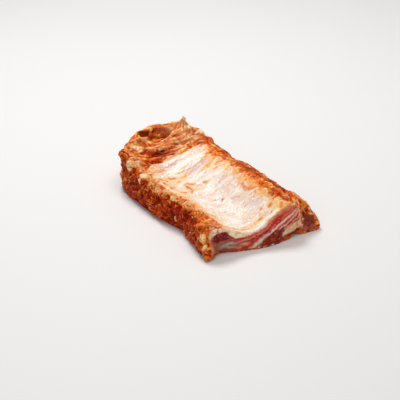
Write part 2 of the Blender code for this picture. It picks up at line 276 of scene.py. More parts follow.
@dataclass(frozen=True)
class Stroke:
    """Soft line of colour along a path on a surface."""

    path: Path
    width: float
    strength: float
    color: Color
    thinning: float = 0.35

    def share(self, flat: np.ndarray) -> np.ndarray:
        """How strongly the line covers each place.

        Args:
            flat: places on the surface, two columns.

        Returns:
            Cover from 0 to the stroke's strength.
        """
        cover = np.zeros(len(flat))
        corners = np.array(self.path, float)
        steps = len(corners) - 1
        for k, (a, b) in enumerate(zip(corners[:-1], corners[1:])):
            along = b - a
            w = np.clip(((flat - a) @ along) / max(float(along @ along), 1e-9), 0.0, 1.0)
            gap = np.linalg.norm(flat - (a + w[:, None] * along), axis=1)
            taper = 1.0 - self.thinning * (2.0 * (k + w) / steps - 1.0) ** 2
            cover = np.maximum(cover, np.exp(-(gap / (self.width * taper)) ** 2))
        return self.strength * cover


class Tint:
    """Colours of many places in linear light, laid one over another."""

    def __init__(self, rows: np.ndarray) -> None:
        """Start from rows of linear light."""
        self.rows = rows

    @classmethod
    def plain(cls, color: Color, count: int) -> "Tint":
        """The same display colour on every place."""
        return cls(np.repeat(linear(color)[None, :], count, axis=0))

    def lay(self, color: Color, share: np.ndarray) -> None:
        """Lay a display colour over the places, each by its share of 0 to 1."""
        self.blend(linear(color), np.clip(share, 0.0, 1.0))

    def blend(self, rows: np.ndarray, share: np.ndarray) -> None:
        """Lay rows of linear light over the places, each by its share."""
        self.rows = self.rows * (1.0 - share[:, None]) + rows * share[:, None]

    def lay_strokes(self, flat: np.ndarray, strokes: Sequence[Stroke]) -> None:
        """Lay a set of strokes over the places, one after another."""
        for stroke in strokes:
            self.lay(stroke.color, stroke.share(flat))


AMBER: Color = (238, 164, 74)
SPICE: Color = (222, 114, 26)
RUST: Color = (190, 84, 24)
LILAC_SHADE: Color = (214, 186, 184)
CREAM: Color = (250, 238, 222)
WHITE: Color = (253, 248, 242)
PALE: Color = (252, 236, 206)
GOLD: Color = (250, 214, 132)


@dataclass
class BoneSideMap:
    """Outline, ribs and colours of the pale side over the bones.

    The rails are the left border, the right border and the far border. A drop is a place in t and s
    and a radius.
    """

    left: Rail = Rail(((0, 24), (15, 23), (31, 18.6), (48, 16.8), (71, 18), (90, 14), (113, 11), (128, 9),
                       (147, 10), (158, 14), (170, 22), (196, 30)))
    right: Rail = Rail(((0, 94), (12, 90), (23, 87), (60, 88), (84, 88.5), (105, 89), (124, 90), (143, 87),
                        (156, 86), (165, 90), (178, 94), (196, 90)))
    far: Rail = Rail(((10, 162), (18, 166), (25, 170), (34, 175.5), (45, 182), (52, 183), (60, 181),
                      (70, 178.5), (80, 177.5), (95, 177)))
    middle_s: float = 50.0
    rib_first: float = 10.0
    rib_pitch: float = 23.5
    rib_slant: float = 0.26
    noise: Noise = Noise(11)
    # The lilac strokes and the brownish lilac one near t 149 run in the valleys between the ribs: they are
    # painted shade.
    strokes: tuple[Stroke, ...] = (
        Stroke(((154, 36), (163, 50), (164, 66), (159, 80)), 4.5, 0.8, WHITE),
        Stroke(((120, 58), (118, 68), (108, 80)), 5.0, 0.6, WHITE),
        Stroke(((98, 58), (94, 66), (90, 78)), 4.2, 0.5, WHITE),
        Stroke(((150, 14), (154, 26), (168, 41), (170, 50), (172, 63)), 1.5, 0.75, (206, 140, 96)),
        Stroke(((165, 30), (171, 50), (172, 64)), 1.6, 0.6, LILAC_SHADE),
        Stroke(((171, 34), (175, 50), (174, 66), (174.5, 86)), 2.6, 0.7, CREAM),
        Stroke(((149, 50), (148.4, 60), (148.6, 66), (149, 78)), 1.5, 0.7, (186, 140, 132)),
        Stroke(((147.5, 42), (147.6, 50), (147, 55), (146, 65)), 1.3, 0.75, (206, 132, 88)),
        Stroke(((144, 60), (142, 72), (145, 84)), 2.6, 0.7, LILAC_SHADE),
        Stroke(((152, 78), (155, 84), (160, 90)), 2.6, 0.9, SPICE),
        Stroke(((157, 86), (168, 92)), 2.5, 0.7, AMBER),
        Stroke(((131, 71), (135.6, 76), (140, 84.5), (141, 89)), 2.1, 0.95, SPICE),
        Stroke(((133, 66), (134.5, 72), (137, 78)), 2.3, 0.7, AMBER),
        Stroke(((123.6, 75), (122.7, 79)), 2.6, 0.8, AMBER),
        Stroke(((129, 80), (126.4, 87)), 2.0, 0.85, SPICE),
        Stroke(((107, 80), (110.5, 87)), 2.6, 0.8, AMBER),
        Stroke(((118, 82), (116, 89)), 2.3, 0.7, AMBER),
        Stroke(((148, 82), (149, 90)), 2.3, 0.7, AMBER),
        Stroke(((138, 29.7), (139, 36.6)), 2.5, 0.95, SPICE),
        Stroke(((139.6, 43), (141, 48)), 3.0, 0.7, AMBER),
        Stroke(((127.7, 33.5), (134.5, 39)), 2.5, 0.7, AMBER),
        Stroke(((121, 37.6), (123.3, 43), (120.4, 49), (120.6, 52.7)), 1.6, 0.85, SPICE),
        Stroke(((118.6, 38.5), (114, 41.4), (109, 41.8), (101, 36.5)), 2.1, 0.95, SPICE),
        Stroke(((101, 36.5), (111.5, 42.3)), 1.6, 0.8, RUST),
        Stroke(((107.6, 44.8), (107.7, 47.7)), 2.1, 0.75, AMBER),
        Stroke(((110, 16), (112.6, 23.4)), 2.3, 0.9, SPICE),
        Stroke(((97.7, 20.7), (101.5, 31.7)), 1.5, 0.95, SPICE),
        Stroke(((85, 11), (77, 15), (73, 20)), 1.6, 0.95, (208, 84, 30)),
        Stroke(((125, 16.4), (117, 19)), 1.6, 0.85, SPICE),
        Stroke(((134.6, 22), (126.6, 24)), 1.6, 0.8, AMBER),
        Stroke(((134, 15), (128, 22)), 2.0, 0.8, SPICE),
        Stroke(((125, 11), (110, 13), (100, 18)), 1.6, 0.7, CREAM),
        Stroke(((116, 9.6), (107.5, 13.6), (100, 18.8), (91, 23.3), (84, 26.7)), 1.8, 0.75, PALE),
        Stroke(((104, 18), (94, 25), (86, 29)), 1.3, 0.7, AMBER),
        Stroke(((90, 18), (80, 23), (74, 27)), 1.5, 0.7, AMBER),
        Stroke(((61, 21), (52, 20.7)), 2.6, 0.8, AMBER),
        Stroke(((36, 21), (29, 28)), 2.0, 0.95, SPICE),
        Stroke(((26.5, 19), (18, 23)), 2.0, 0.9, SPICE),
        Stroke(((46, 19), (38, 25)), 2.0, 0.7, AMBER),
        Stroke(((18, 21), (8, 25), (4, 33), (4, 42)), 2.0, 0.75, (230, 160, 96)),
        Stroke(((4, 42), (4, 47), (6, 56), (8, 66)), 1.5, 0.8, AMBER),
        Stroke(((0.5, 70), (2, 76), (5, 80)), 1.5, 0.7, AMBER),
        Stroke(((17, 73), (17.4, 74.5)), 1.7, 0.8, AMBER),
        Stroke(((30, 84), (32, 90)), 1.8, 0.8, SPICE),
        Stroke(((20, 90.5), (10, 94.5)), 1.6, 0.75, AMBER),
        # A painted highlight along the cut edge.
        Stroke(((2.5, 64), (2.0, 74), (2.6, 84)), 1.8, 0.85, (255, 250, 240)),
        Stroke(((9, 84), (6, 93)), 2.6, 0.7, GOLD),
        Stroke(((16, 88), (8, 97)), 2.0, 0.6, GOLD),
        Stroke(((22, 24), (12, 28), (9, 40)), 2.0, 0.6, PALE),
        Stroke(((7, 66), (9, 69)), 2.6, 0.8, AMBER),
        Stroke(((12.2, 81), (13.4, 82.4)), 3.1, 0.85, AMBER),
        Stroke(((3, 88), (4, 90)), 3.0, 0.8, AMBER),
        Stroke(((23.4, 87), (24.2, 88.4)), 3.0, 0.7, (196, 110, 80)),
        Stroke(((77, 49), (77.6, 51)), 2.0, 0.7, (214, 160, 110)),
        Stroke(((114, 58.6), (114, 60)), 2.0, 0.8, SPICE),
        Stroke(((71.6, 57), (72.6, 58)), 1.8, 0.95, (156, 66, 44)),
        Stroke(((88.6, 81), (89.6, 82)), 3.0, 0.6, (214, 160, 150)),
        Stroke(((63, 65), (55, 70)), 1.5, 0.6, (196, 140, 110)),
        Stroke(((91, 67), (88, 73)), 1.6, 0.5, LILAC_SHADE),
        Stroke(((58, 62.4), (55, 65.3)), 2.6, 0.6, (206, 190, 196)),
        Stroke(((35, 69), (26, 77)), 3.2, 0.5, (214, 202, 208)),
        Stroke(((79, 81), (79, 84)), 3.0, 0.7, AMBER),
        Stroke(((40, 40), (43, 50)), 3.8, 0.45, (240, 196, 176)),
        Stroke(((72, 84), (66, 88), (58, 90)), 3.8, 0.75, (236, 160, 84)),
        Stroke(((68, 85), (63, 90)), 2.5, 0.85, SPICE),
        Stroke(((70, 79), (62, 78), (54, 79.5), (49, 82.6), (45, 87)), 2.1, 0.85, (222, 124, 44)),
        Stroke(((60, 84), (54, 86), (48, 88)), 3.8, 0.65, (238, 168, 92)),
        Stroke(((33, 86), (40, 87)), 2.6, 0.7, AMBER),
        Stroke(((92, 84), (98, 88)), 3.0, 0.7, AMBER),
    )

    drops: tuple[Spot, ...] = (
        (12.8, 81.6, 3.0), (3.4, 89.4, 2.6), (10.5, 95.0, 2.0), (23.8, 86.7, 2.6), (17.2, 73.6, 1.5),
        (7.6, 67.5, 2.2), (30.0, 81.0, 1.4), (20.0, 92.0, 1.7), (41.0, 84.0, 1.8), (5.0, 79.0, 1.3),
        (60.5, 20.6, 2.0),
    )
    drop_color: Color = (222, 132, 52)
    halo_color: Color = (248, 202, 136)
    halo: float = 2.2

    def inside(self, t: np.ndarray, s: np.ndarray) -> np.ndarray:
        """How far a place is inside the pale side, in millimetres."""
        return np.minimum(np.minimum(s - self.left(t), self.right(t) - s), self.far(s) - t)

    def rib_wave(self, t: np.ndarray, s: np.ndarray) -> np.ndarray:
        """1 on the middle of a rib and 0 between two ribs."""
        phase = (t - self.rib_first - self.rib_slant * (s - self.middle_s)) / self.rib_pitch
        return 0.5 + 0.5 * np.cos(2 * math.pi * phase)

    def edge_depth(self, p: np.ndarray) -> np.ndarray:
        """How far a place is inside the torn border of the pale side."""
        rough = self.noise.drawn(p, 3.6, 16.0, 16.0) + 0.5 * self.noise.drawn(p, 1.8, 6.0, 6.0)
        left = self.left_share(p)
        fingers = 3.4 * rough * (1 - left) + 3.2 * self.slanting(p, 3.0, 13.0) * left
        return self.inside(p[:, 0], p[:, 1]) + 2.0 * self.noise.cloud(p, 9.0, 2) + fingers

    def across(self, p: np.ndarray, step: float, run: float) -> np.ndarray:
        """Noise drawn out along the ribs.

        Args:
            p: places as t, s and z.
            step: width of a streak.
            run: length of a streak.

        Returns:
            One value of about -1 to 1 for each place.
        """
        lean = p[:, 0] - self.rib_slant * (p[:, 1] - self.middle_s)
        bent = lean + 2.6 * self.noise.at(p / 21.0)
        return self.noise.at(np.stack([bent / step, p[:, 1] / run, p[:, 2] / run], axis=1))

    def slanting(self, p: np.ndarray, step: float, run: float) -> np.ndarray:
        """Noise drawn out slantwise, as the tissue near the left border lies.

        Args:
            p: places as t, s and z.
            step: width of a streak.
            run: length of a streak.

        Returns:
            One value of about -1 to 1 for each place.
        """
        bent = p + 2.4 * self.noise.at(p / 17.0 + 4.0)[:, None]
        side = 0.70 * bent[:, 0] - 0.66 * bent[:, 1]
        along = 0.66 * bent[:, 0] + 0.70 * bent[:, 1]
        return self.noise.at(np.stack([side / step, along / run, p[:, 2] / run], axis=1) + 7.0)

    def left_share(self, p: np.ndarray) -> np.ndarray:
        """1 near the left border, where the tissue slants, and 0 from the middle on."""
        return rise(p[:, 1], 52, 32) * rise(p[:, 0], 172, 152)

    def relief(self, p: np.ndarray) -> np.ndarray:
        """Wrinkles and pits of the membrane, in millimetres."""
        left = self.left_share(p)
        straight = 0.50 * self.across(p, 5.2, 26.0) + 0.28 * self.across(p, 2.3, 11.0)
        slant = 0.50 * self.slanting(p, 4.2, 19.0) + 0.28 * self.slanting(p, 2.0, 9.0)
        pits = 0.30 * self.noise.cloud(p, 3.4, 2)
        rough = rise(p[:, 0], 50, 110)
        return (straight * (1 - left) + slant * left) * (0.7 + 0.9 * rough) + pits

    def colors(self, p: np.ndarray) -> np.ndarray:
        """Colours of the pale side.

        Args:
            p: places as t, s and z.

        Returns:
            Rows of linear light.
        """
        t, s = p[:, 0], p[:, 1]
        left, far, near_cut = self.left_share(p), rise(t, 60, 130), rise(t, 42, 26)
        inner = rise(self.inside(t, s), 24, 6)
        fine = self.across(p + 40.0, 1.9, 8.0) * (1 - left) + self.slanting(p + 40.0, 1.7, 8.0) * left
        tint = Tint.plain((240, 219, 201), len(p))
        self._membrane(tint, p, left, far)
        self._streaks(tint, p, left, far, fine)
        self._stains(tint, p, far, near_cut, inner)
        self._border(tint, p, near_cut, fine)
        self._marks(tint, p)
        return tint.rows

    def _membrane(self, tint: Tint, p: np.ndarray, left: np.ndarray, far: np.ndarray) -> None:
        """Rosy and creamy clouds of the membrane, and the ribs that show through it: painted lilac shade in
        the valleys between the ribs and painted cream highlights on their crests.
        """
        tint.lay((238, 200, 184), 0.55 * ease(0.45 + 1.4 * self.noise.cloud(p, 22.0, 2)))
        tint.lay((252, 243, 232), 0.85 * ease(0.35 + 1.6 * self.noise.cloud(p + 90.0, 13.0, 3)))
        tint.lay((238, 200, 158), 0.75 * rise(p[:, 1], 44, 18))
        wave = self.rib_wave(p[:, 0], p[:, 1])
        # Painted shade in the valleys between the ribs, and painted highlights on the rib crests.
        tint.lay(LILAC_SHADE, (1 - wave) ** 3 * 0.5 * (0.25 + 0.75 * far) * (1 - left))
        tint.lay(CREAM, wave ** 2 * 0.6 * far * (1 - left))

    def _streaks(self, tint: Tint, p: np.ndarray, left: np.ndarray, far: np.ndarray,
                 fine: np.ndarray) -> None:
        """Amber and white streaks along the ribs, coarse and fine."""
        streaks = self.across(p, 4.4, 22.0) * (1 - left) + self.slanting(p, 3.4, 17.0) * left
        patchy = ease(0.5 + 2.2 * self.noise.cloud(p + 15.0, 14.0, 2))
        amber = rise(streaks, 0.12, 0.42) * (0.25 + 0.75 * far) * patchy
        tint.lay((236, 174, 112), 0.7 * amber)
        tint.lay((253, 247, 240), 0.6 * rise(streaks, -0.18, -0.48))
        tint.lay((206, 172, 166), 0.6 * rise(fine, 0.28, 0.44) * (0.4 + 0.6 * (1 - left)))
        tint.lay((230, 142, 70), 0.75 * rise(fine, -0.34, -0.54) * (0.2 + 0.8 * far) * patchy)

    def _stains(self, tint: Tint, p: np.ndarray, far: np.ndarray, near_cut: np.ndarray,
                inner: np.ndarray) -> None:
        """Marinade that has seeped in, thin veins, dots, glints and blots."""
        t, s, noise = p[:, 0], p[:, 1], self.noise
        seep = rise(noise.cloud(p + 55.0, 8.0, 3) - 0.12 * near_cut, 0.02, 0.32)
        tint.lay((242, 206, 150), 0.8 * near_cut * rise(s - 0.3 * t, 74, 86))
        tint.lay((238, 172, 102), 0.75 * seep * inner)
        squiggle = noise.ridges(noise.shift(p + 31.0, 5.0, 2.0), 4.2)
        thin = rise(squiggle, -0.66, -0.88) * rise(noise.cloud(p + 77.0, 11.0, 2), -0.02, 0.18)
        tint.lay((222, 122, 48), 0.75 * thin * (0.25 + 0.75 * inner) * (0.2 + 0.8 * far))
        veins = noise.ridges(noise.shift(p + 17.0, 4.0, 1.6) / np.array([1.0, 1.7, 1.7]), 3.4)
        tint.lay((206, 176, 170), 0.6 * rise(veins, -0.74, -0.92) * ease(0.5 + 2.0 * noise.cloud(p, 9.0, 2)))
        golden = ease(0.1 + 0.8 * inner + 0.5 * far * rise(s, 60, 40))
        dots = rise(noise.cloud(p + 63.0, 2.2, 2) + 0.16 * golden, 0.38, 0.48)
        tint.lay((232, 158, 84), 0.75 * dots * golden)
        # Small white spots: painted highlights.
        tint.lay((255, 252, 248), 0.95 * rise(noise.cloud(p + 163.0, 2.4, 2), 0.24, 0.34))
        blots = rise(noise.cloud(p + 140.0, 5.0, 2), 0.33, 0.47) * rise(t, 26, 12)
        tint.lay((232, 160, 84), 0.6 * blots)

    def _border(self, tint: Tint, p: np.ndarray, near_cut: np.ndarray, fine: np.ndarray) -> None:
        """Amber rim with dabs of spice and threads of fat."""
        depth = self.edge_depth(p)
        tint.lay((242, 184, 116), 0.8 * rise(depth, 11, 0))
        dabs = self.noise.cloud(p + 20.0, 3.4, 2) + 0.5 * fine
        rim = rise(depth, 9, 0) * (1.0 - 0.45 * near_cut)
        tint.lay((218, 104, 26), 0.9 * rim * rise(dabs, 0, 0.2))
        tint.lay((253, 232, 196), 0.7 * rise(depth, 6, 0) * rise(dabs, -0.14, -0.34))

    def _marks(self, tint: Tint, p: np.ndarray) -> None:
        """Strokes with a soft halo round the vivid ones, and the drops."""
        noise = self.noise
        bent = noise.shift(p, 7.0, 2.4)
        bent = noise.shift(noise.shift(bent, 2.6, 0.8), 1.4, 0.35)[:, :2]
        broken = ease(1.0 + 2.4 * noise.cloud(p + 201.0, 2.1, 2))
        for stroke in self.strokes:
            vivid = stroke.color in (AMBER, SPICE, RUST)
            if vivid:
                tint.lay(self.halo_color, 0.7 * replace(stroke, width=self.halo * stroke.width).share(bent))
            tint.lay(stroke.color, stroke.share(bent) * (1.35 * broken if vivid else 1.0))
        still = noise.shift(p, 3.0, 0.5)
        for drop_t, drop_s, radius in self.drops:
            gap = np.hypot(still[:, 0] - drop_t, still[:, 1] - drop_s)
            tint.lay(self.drop_color, 0.9 * rise(gap, radius, radius - 1.0))


@dataclass
class CutFaceMap:
    """Bands, lumps and seams on the cut face, drawn in s and z.

    The band line is the lower border of the pale band.
    """

    band_line: Rail = Rail(((8, 40), (22, 30), (26, 25.5), (30, 20), (34, 16.5), (40, 15.5), (46, 16),
                            (52, 17.5), (60, 19), (66, 21), (72, 24.2), (76, 27), (80, 29.6), (85, 32),
                            (90, 34.5), (97, 36), (103, 35.5), (108, 34), (112, 31)))
    seams: tuple[Stroke, ...] = (
        Stroke(((69, 12.5), (78, 17), (86, 21), (94, 25), (100, 28), (104, 31.5)), 1.15, 1.0,
               (252, 220, 200)),
        Stroke(((83, 16), (90, 18), (97, 21.5), (103, 25.5), (107, 30)), 1.0, 0.95, (248, 208, 188)),
        Stroke(((88, 14.5), (96, 16.5), (104, 20.5), (109, 24)), 0.8, 0.9, (240, 186, 166)),
        Stroke(((49, 1.5), (55, 4.5), (60, 7.5), (63, 9.5)), 1.7, 0.95, (252, 224, 188)),
        Stroke(((62, 9), (67, 12), (71, 14.5)), 1.4, 0.85, (240, 214, 196)),
        Stroke(((38, 11.5), (48, 12.5), (56, 14)), 0.9, 0.6, (236, 176, 156)),
        Stroke(((58, 15), (66, 17.5), (74, 22)), 0.8, 0.6, (240, 176, 156)),
    )
    seam_width: float = 1.3
    orange_line: Stroke = Stroke(((72, 25.5), (80, 31), (90, 35.6), (101, 37.5)), 0.9, 0.8, (222, 116, 36))
    flap_edge: Stroke = Stroke(((104, 36), (109.5, 31), (113.5, 22), (115, 14), (112.5, 7), (108, 3.5)),
                               0.95, 0.95, CREAM)
    noise: Noise = Noise(23)

    def fibres(self, p: np.ndarray) -> np.ndarray:
        """Streaks of the muscles, which follow the pale band."""
        bent = self.noise.shift(p, 6.0, 1.0)
        above = bent[:, 2] - self.band_line(bent[:, 1])
        rows = np.stack([bent[:, 1] / 9.0, above / 1.5, 0 * above], axis=1)
        return self.noise.at(rows) + 0.6 * self.noise.at(rows * np.array([2.2, 2.1, 1.0]) + 9.0)

    def relief(self, p: np.ndarray) -> np.ndarray:
        """Height of the cut face, in millimetres: bulging muscles with raised seams."""
        flat = self.noise.shift(p, 3.0, 0.6)[:, 1:]
        raised = [replace(seam, width=self.seam_width, strength=1.0).share(flat) for seam in self.seams]
        return 0.35 * self.noise.cloud(p, 5.0, 2) + 0.18 * self.fibres(p) + 0.35 * np.max(raised, axis=0)

    def colors(self, p: np.ndarray) -> np.ndarray:
        """Colours of the cut face.

        Args:
            p: places as t, s and z.

        Returns:
            Rows of linear light.
        """
        noise = self.noise
        flat = noise.shift(p * np.array([0.0, 1.0, 1.0]), 6.0, 1.2)
        flat = noise.shift(flat, 2.2, 0.6)[:, 1:]
        s, z = flat[:, 0], flat[:, 1]
        fibre = self.fibres(p)
        mottle = noise.cloud(p + 13.0, 3.4, 3)
        tint = Tint.plain((210, 58, 50), len(p))
        tint.lay((230, 116, 78), 0.6 * rise(s, 80, 94) * rise(z, 24, 29))
        tint.lay((150, 24, 28), 0.75 * rise(z - 0.2 * (s - 60.0), 16, 9) * rise(s, 44, 52))
        tint.lay((140, 26, 26), 0.75 * rise(fibre, 0.05, 0.4))
        tint.lay((240, 148, 122), 0.7 * rise(fibre, -0.34, -0.59))
        tint.lay((176, 50, 40), 0.5 * ease(1.8 * mottle))
        self._lower_meat(tint, flat, mottle, fibre)
        self._left_end(tint, flat, mottle)
        self._right_end(tint, flat, mottle)
        for seam in self.seams:
            tint.lay(seam.color, seam.share(flat) * (0.85 + 0.5 * mottle))
        self._bands(tint, p, flat, fibre)
        # Pale specks: painted highlights on the wet meat.
        glint = rise(noise.cloud(p + 51.0, 1.7, 2), 0.36, 0.46)
        tint.lay((254, 214, 186), 0.4 * glint * rise(s, 34, 42) * rise(s, 112, 108))
        return tint.rows

    def _lower_meat(self, tint: Tint, flat: np.ndarray, mottle: np.ndarray, fibre: np.ndarray) -> None:
        """Dark meat under the long seam."""
        s, z = flat[:, 0], flat[:, 1]
        low = rise(z - 0.30 * (s - 64.0), 12, 10) * rise(s, 56, 59) * rise(z, 17, 15)
        tint.lay((136, 38, 24), 0.95 * low)
        tint.lay((96, 18, 10), 0.6 * low * rise(fibre, 0.1, 0.4))
        tint.lay((184, 88, 54), 0.6 * low * rise(mottle, 0.1, 0.35))

    def _left_end(self, tint: Tint, flat: np.ndarray, mottle: np.ndarray) -> None:
        """Dark muscle with its rim, gristle and the streaky meat below."""
        s, z = flat[:, 0], flat[:, 1]
        tint.lay((168, 80, 58), 0.9 * rise(s, 33, 29))
        tint.lay((186, 44, 32), 0.9 * rise(s, 32, 35) * rise(s, 54, 50) * rise(z, 14, 12))
        tint.lay((232, 186, 140), 0.85 * near(flat, (45.5, 8.0), (4.8, 1.7)))
        tint.lay((226, 176, 130), 0.75 * near(flat, (38.0, 5.6), (3.4, 1.1)))
        level = self.noise.at(np.stack([s / 14.0, z / 1.7, 0 * z], axis=1) + 31.0)
        level = level + 0.5 * self.noise.at(np.stack([s / 6.0, z / 0.9, 0 * z], axis=1) + 37.0)
        gristle = near(flat, (27.5, 8.6), (12.0, 4.6))
        tint.lay((142, 98, 82), 0.75 * gristle)
        tint.lay((206, 192, 176), 0.85 * near(flat, (27.0, 9.0), (8.5, 2.2)))
        tint.lay((216, 206, 190), 0.7 * gristle * rise(level, 0.05, 0.35))
        tint.lay((120, 40, 34), 0.75 * gristle * rise(level, -0.12, -0.42))
        tint.lay((226, 206, 184), 0.8 * near(flat, (6.5, 12.0), (2.8, 2.6)))
        plum = away(flat, (19.5, 20.0), (11.5, 6.2))
        inner = rise(plum, 1, 0.7)
        tint.lay((112, 26, 30), 0.95 * inner)
        # Pink specks on the upper part of the dark muscle: painted highlights.
        tint.lay((208, 150, 154), 0.7 * inner * rise(mottle, 0.22, 0.34) * rise(z, 17, 21))
        tint.lay((178, 62, 50), 0.7 * inner * rise(mottle, -0.08, -0.28))
        over = rise(z, 20, 23) * rise(s, 29, 23)
        tint.lay((242, 190, 150), 0.9 * over * rise(plum, 0.78, 1.03))
        tint.lay((255, 238, 214), 0.85 * over * rise(plum, 0.85, 1.05) * rise(mottle, -0.05, 0.15))
        tint.lay((214, 104, 44), 0.8 * over * rise(mottle, -0.16, -0.28))
        tint.lay((214, 110, 40), 0.9 * rise(s - 0.10 * z, 8, 4.5))
        tint.lay((252, 214, 162), 0.85 * near(flat, (7.0, 24.0), (2.2, 5.0)))

    def _right_end(self, tint: Tint, flat: np.ndarray, mottle: np.ndarray) -> None:
        """Fat wedge, rind and the face of the flap."""
        s, z = flat[:, 0], flat[:, 1]
        roof = 13.5 + 0.30 * (s - 88.0)
        wedge = rise(roof - z, 0, 1.2) * rise(z - 0.05 * (s - 88.0), 6, 8) * rise(s, 88, 90.5)
        wedge = wedge * rise(s, 113, 111)
        tint.lay((246, 186, 134), 0.95 * wedge)
        tint.lay((255, 228, 192), 0.6 * wedge * rise(mottle, 0, 0.3))
        tint.lay((214, 116, 66), 0.6 * wedge * rise(mottle, -0.06, -0.31))
        # A pale spot by the fat wedge: painted highlight.
        tint.lay((250, 226, 198), 0.9 * near(flat, (88.5, 9.0), (2.8, 2.8)) * rise(mottle, -0.2, 0))
        tint.lay((250, 226, 204), 0.85 * near(flat, (110.5, 16.5), (2.2, 4.4)))
        tint.lay((212, 92, 22), 0.9 * rise(z, 6, 3.5) * rise(s, 86, 90))
        tint.lay((126, 30, 16), 0.8 * near(flat, (101.0, 4.5), (5.0, 2.0)))
        rind = rise(s - 0.16 * (30.0 - z), 105.5, 107.1) * rise(z, 14, 18)
        tint.lay((244, 186, 126), 0.8 * rind)
        tint.lay((214, 92, 22), 0.9 * rind * rise(mottle, -0.02, 0.13))
        flap = rise(s, 112.5, 114)
        tint.lay((140, 62, 48), 0.95 * flap)
        tint.lay((186, 108, 84), 0.7 * flap * rise(z, 9, 6) * rise(mottle, -0.2, 0.2))
        tint.lay((108, 34, 22), 0.6 * flap * rise(mottle, -0.08, -0.33))
        tint.lay((226, 118, 40), 0.85 * rise(s + 0.12 * z + 3.0 * mottle, 128.4, 130))
        crumbs = rise(mottle, 0.02, 0.14)
        tint.lay((240, 140, 44), 0.95 * near(flat, (117.8, 14.5), (3.4, 3.0)) * crumbs)
        # A nearly black stripe: painted shade in a crevice.
        tint.lay((86, 20, 8), 0.9 * near(flat, (116.5, 19.0), (1.3, 3.2)))
        strip = self.flap_edge.share(flat)
        tint.lay((248, 196, 136), strip * ease(0.55 + 2.5 * mottle))
        tint.lay((214, 98, 30), strip * ease(0.1 - 3.0 * mottle))

    def _bands(self, tint: Tint, p: np.ndarray, flat: np.ndarray, fibre: np.ndarray) -> None:
        """The pale band under the bone side and the orange line along it."""
        s, z = flat[:, 0], flat[:, 1]
        above = z - self.band_line(s)
        fat = self.noise.cloud(p + 71.0, 5.0, 3)
        band = Tint.plain((255, 232, 196), len(p))
        band.lay((244, 176, 110), 0.75 * rise(fat, 0.03, 0.23))
        band.lay((252, 206, 172), 0.5 * rise(fibre, 0.1, 0.4))
        band.lay((255, 244, 222), 0.8 * rise(above, 1, 3) * rise(fat, 0.12, -0.08))
        band.lay((242, 192, 118), 0.7 * rise(s, 82, 92))
        soft = 0.7 + 2.2 * rise(s, 50, 58) * rise(s, 78, 72)
        tint.lay((232, 146, 122), 0.65 * rise(above, -3.5, 0) * rise(s, 46, 54))
        tint.blend(band.rows, ease((above + 0.4 * soft) / soft))
        tint.lay_strokes(flat, (self.orange_line,))


@dataclass(frozen=True)
class Fold:
    """Dent or skin strip of the far end, with a colour and a height of its own."""

    place: Spot
    half: Spot
    color: Color
    cover: float
    height: float = 0.0
    pull: float = 0.0

    def share(self, p: np.ndarray) -> np.ndarray:
        """How far each place belongs to the fold, 0 to 1."""
        return rise(away(p, self.place, self.half), 1.15, 0.65)


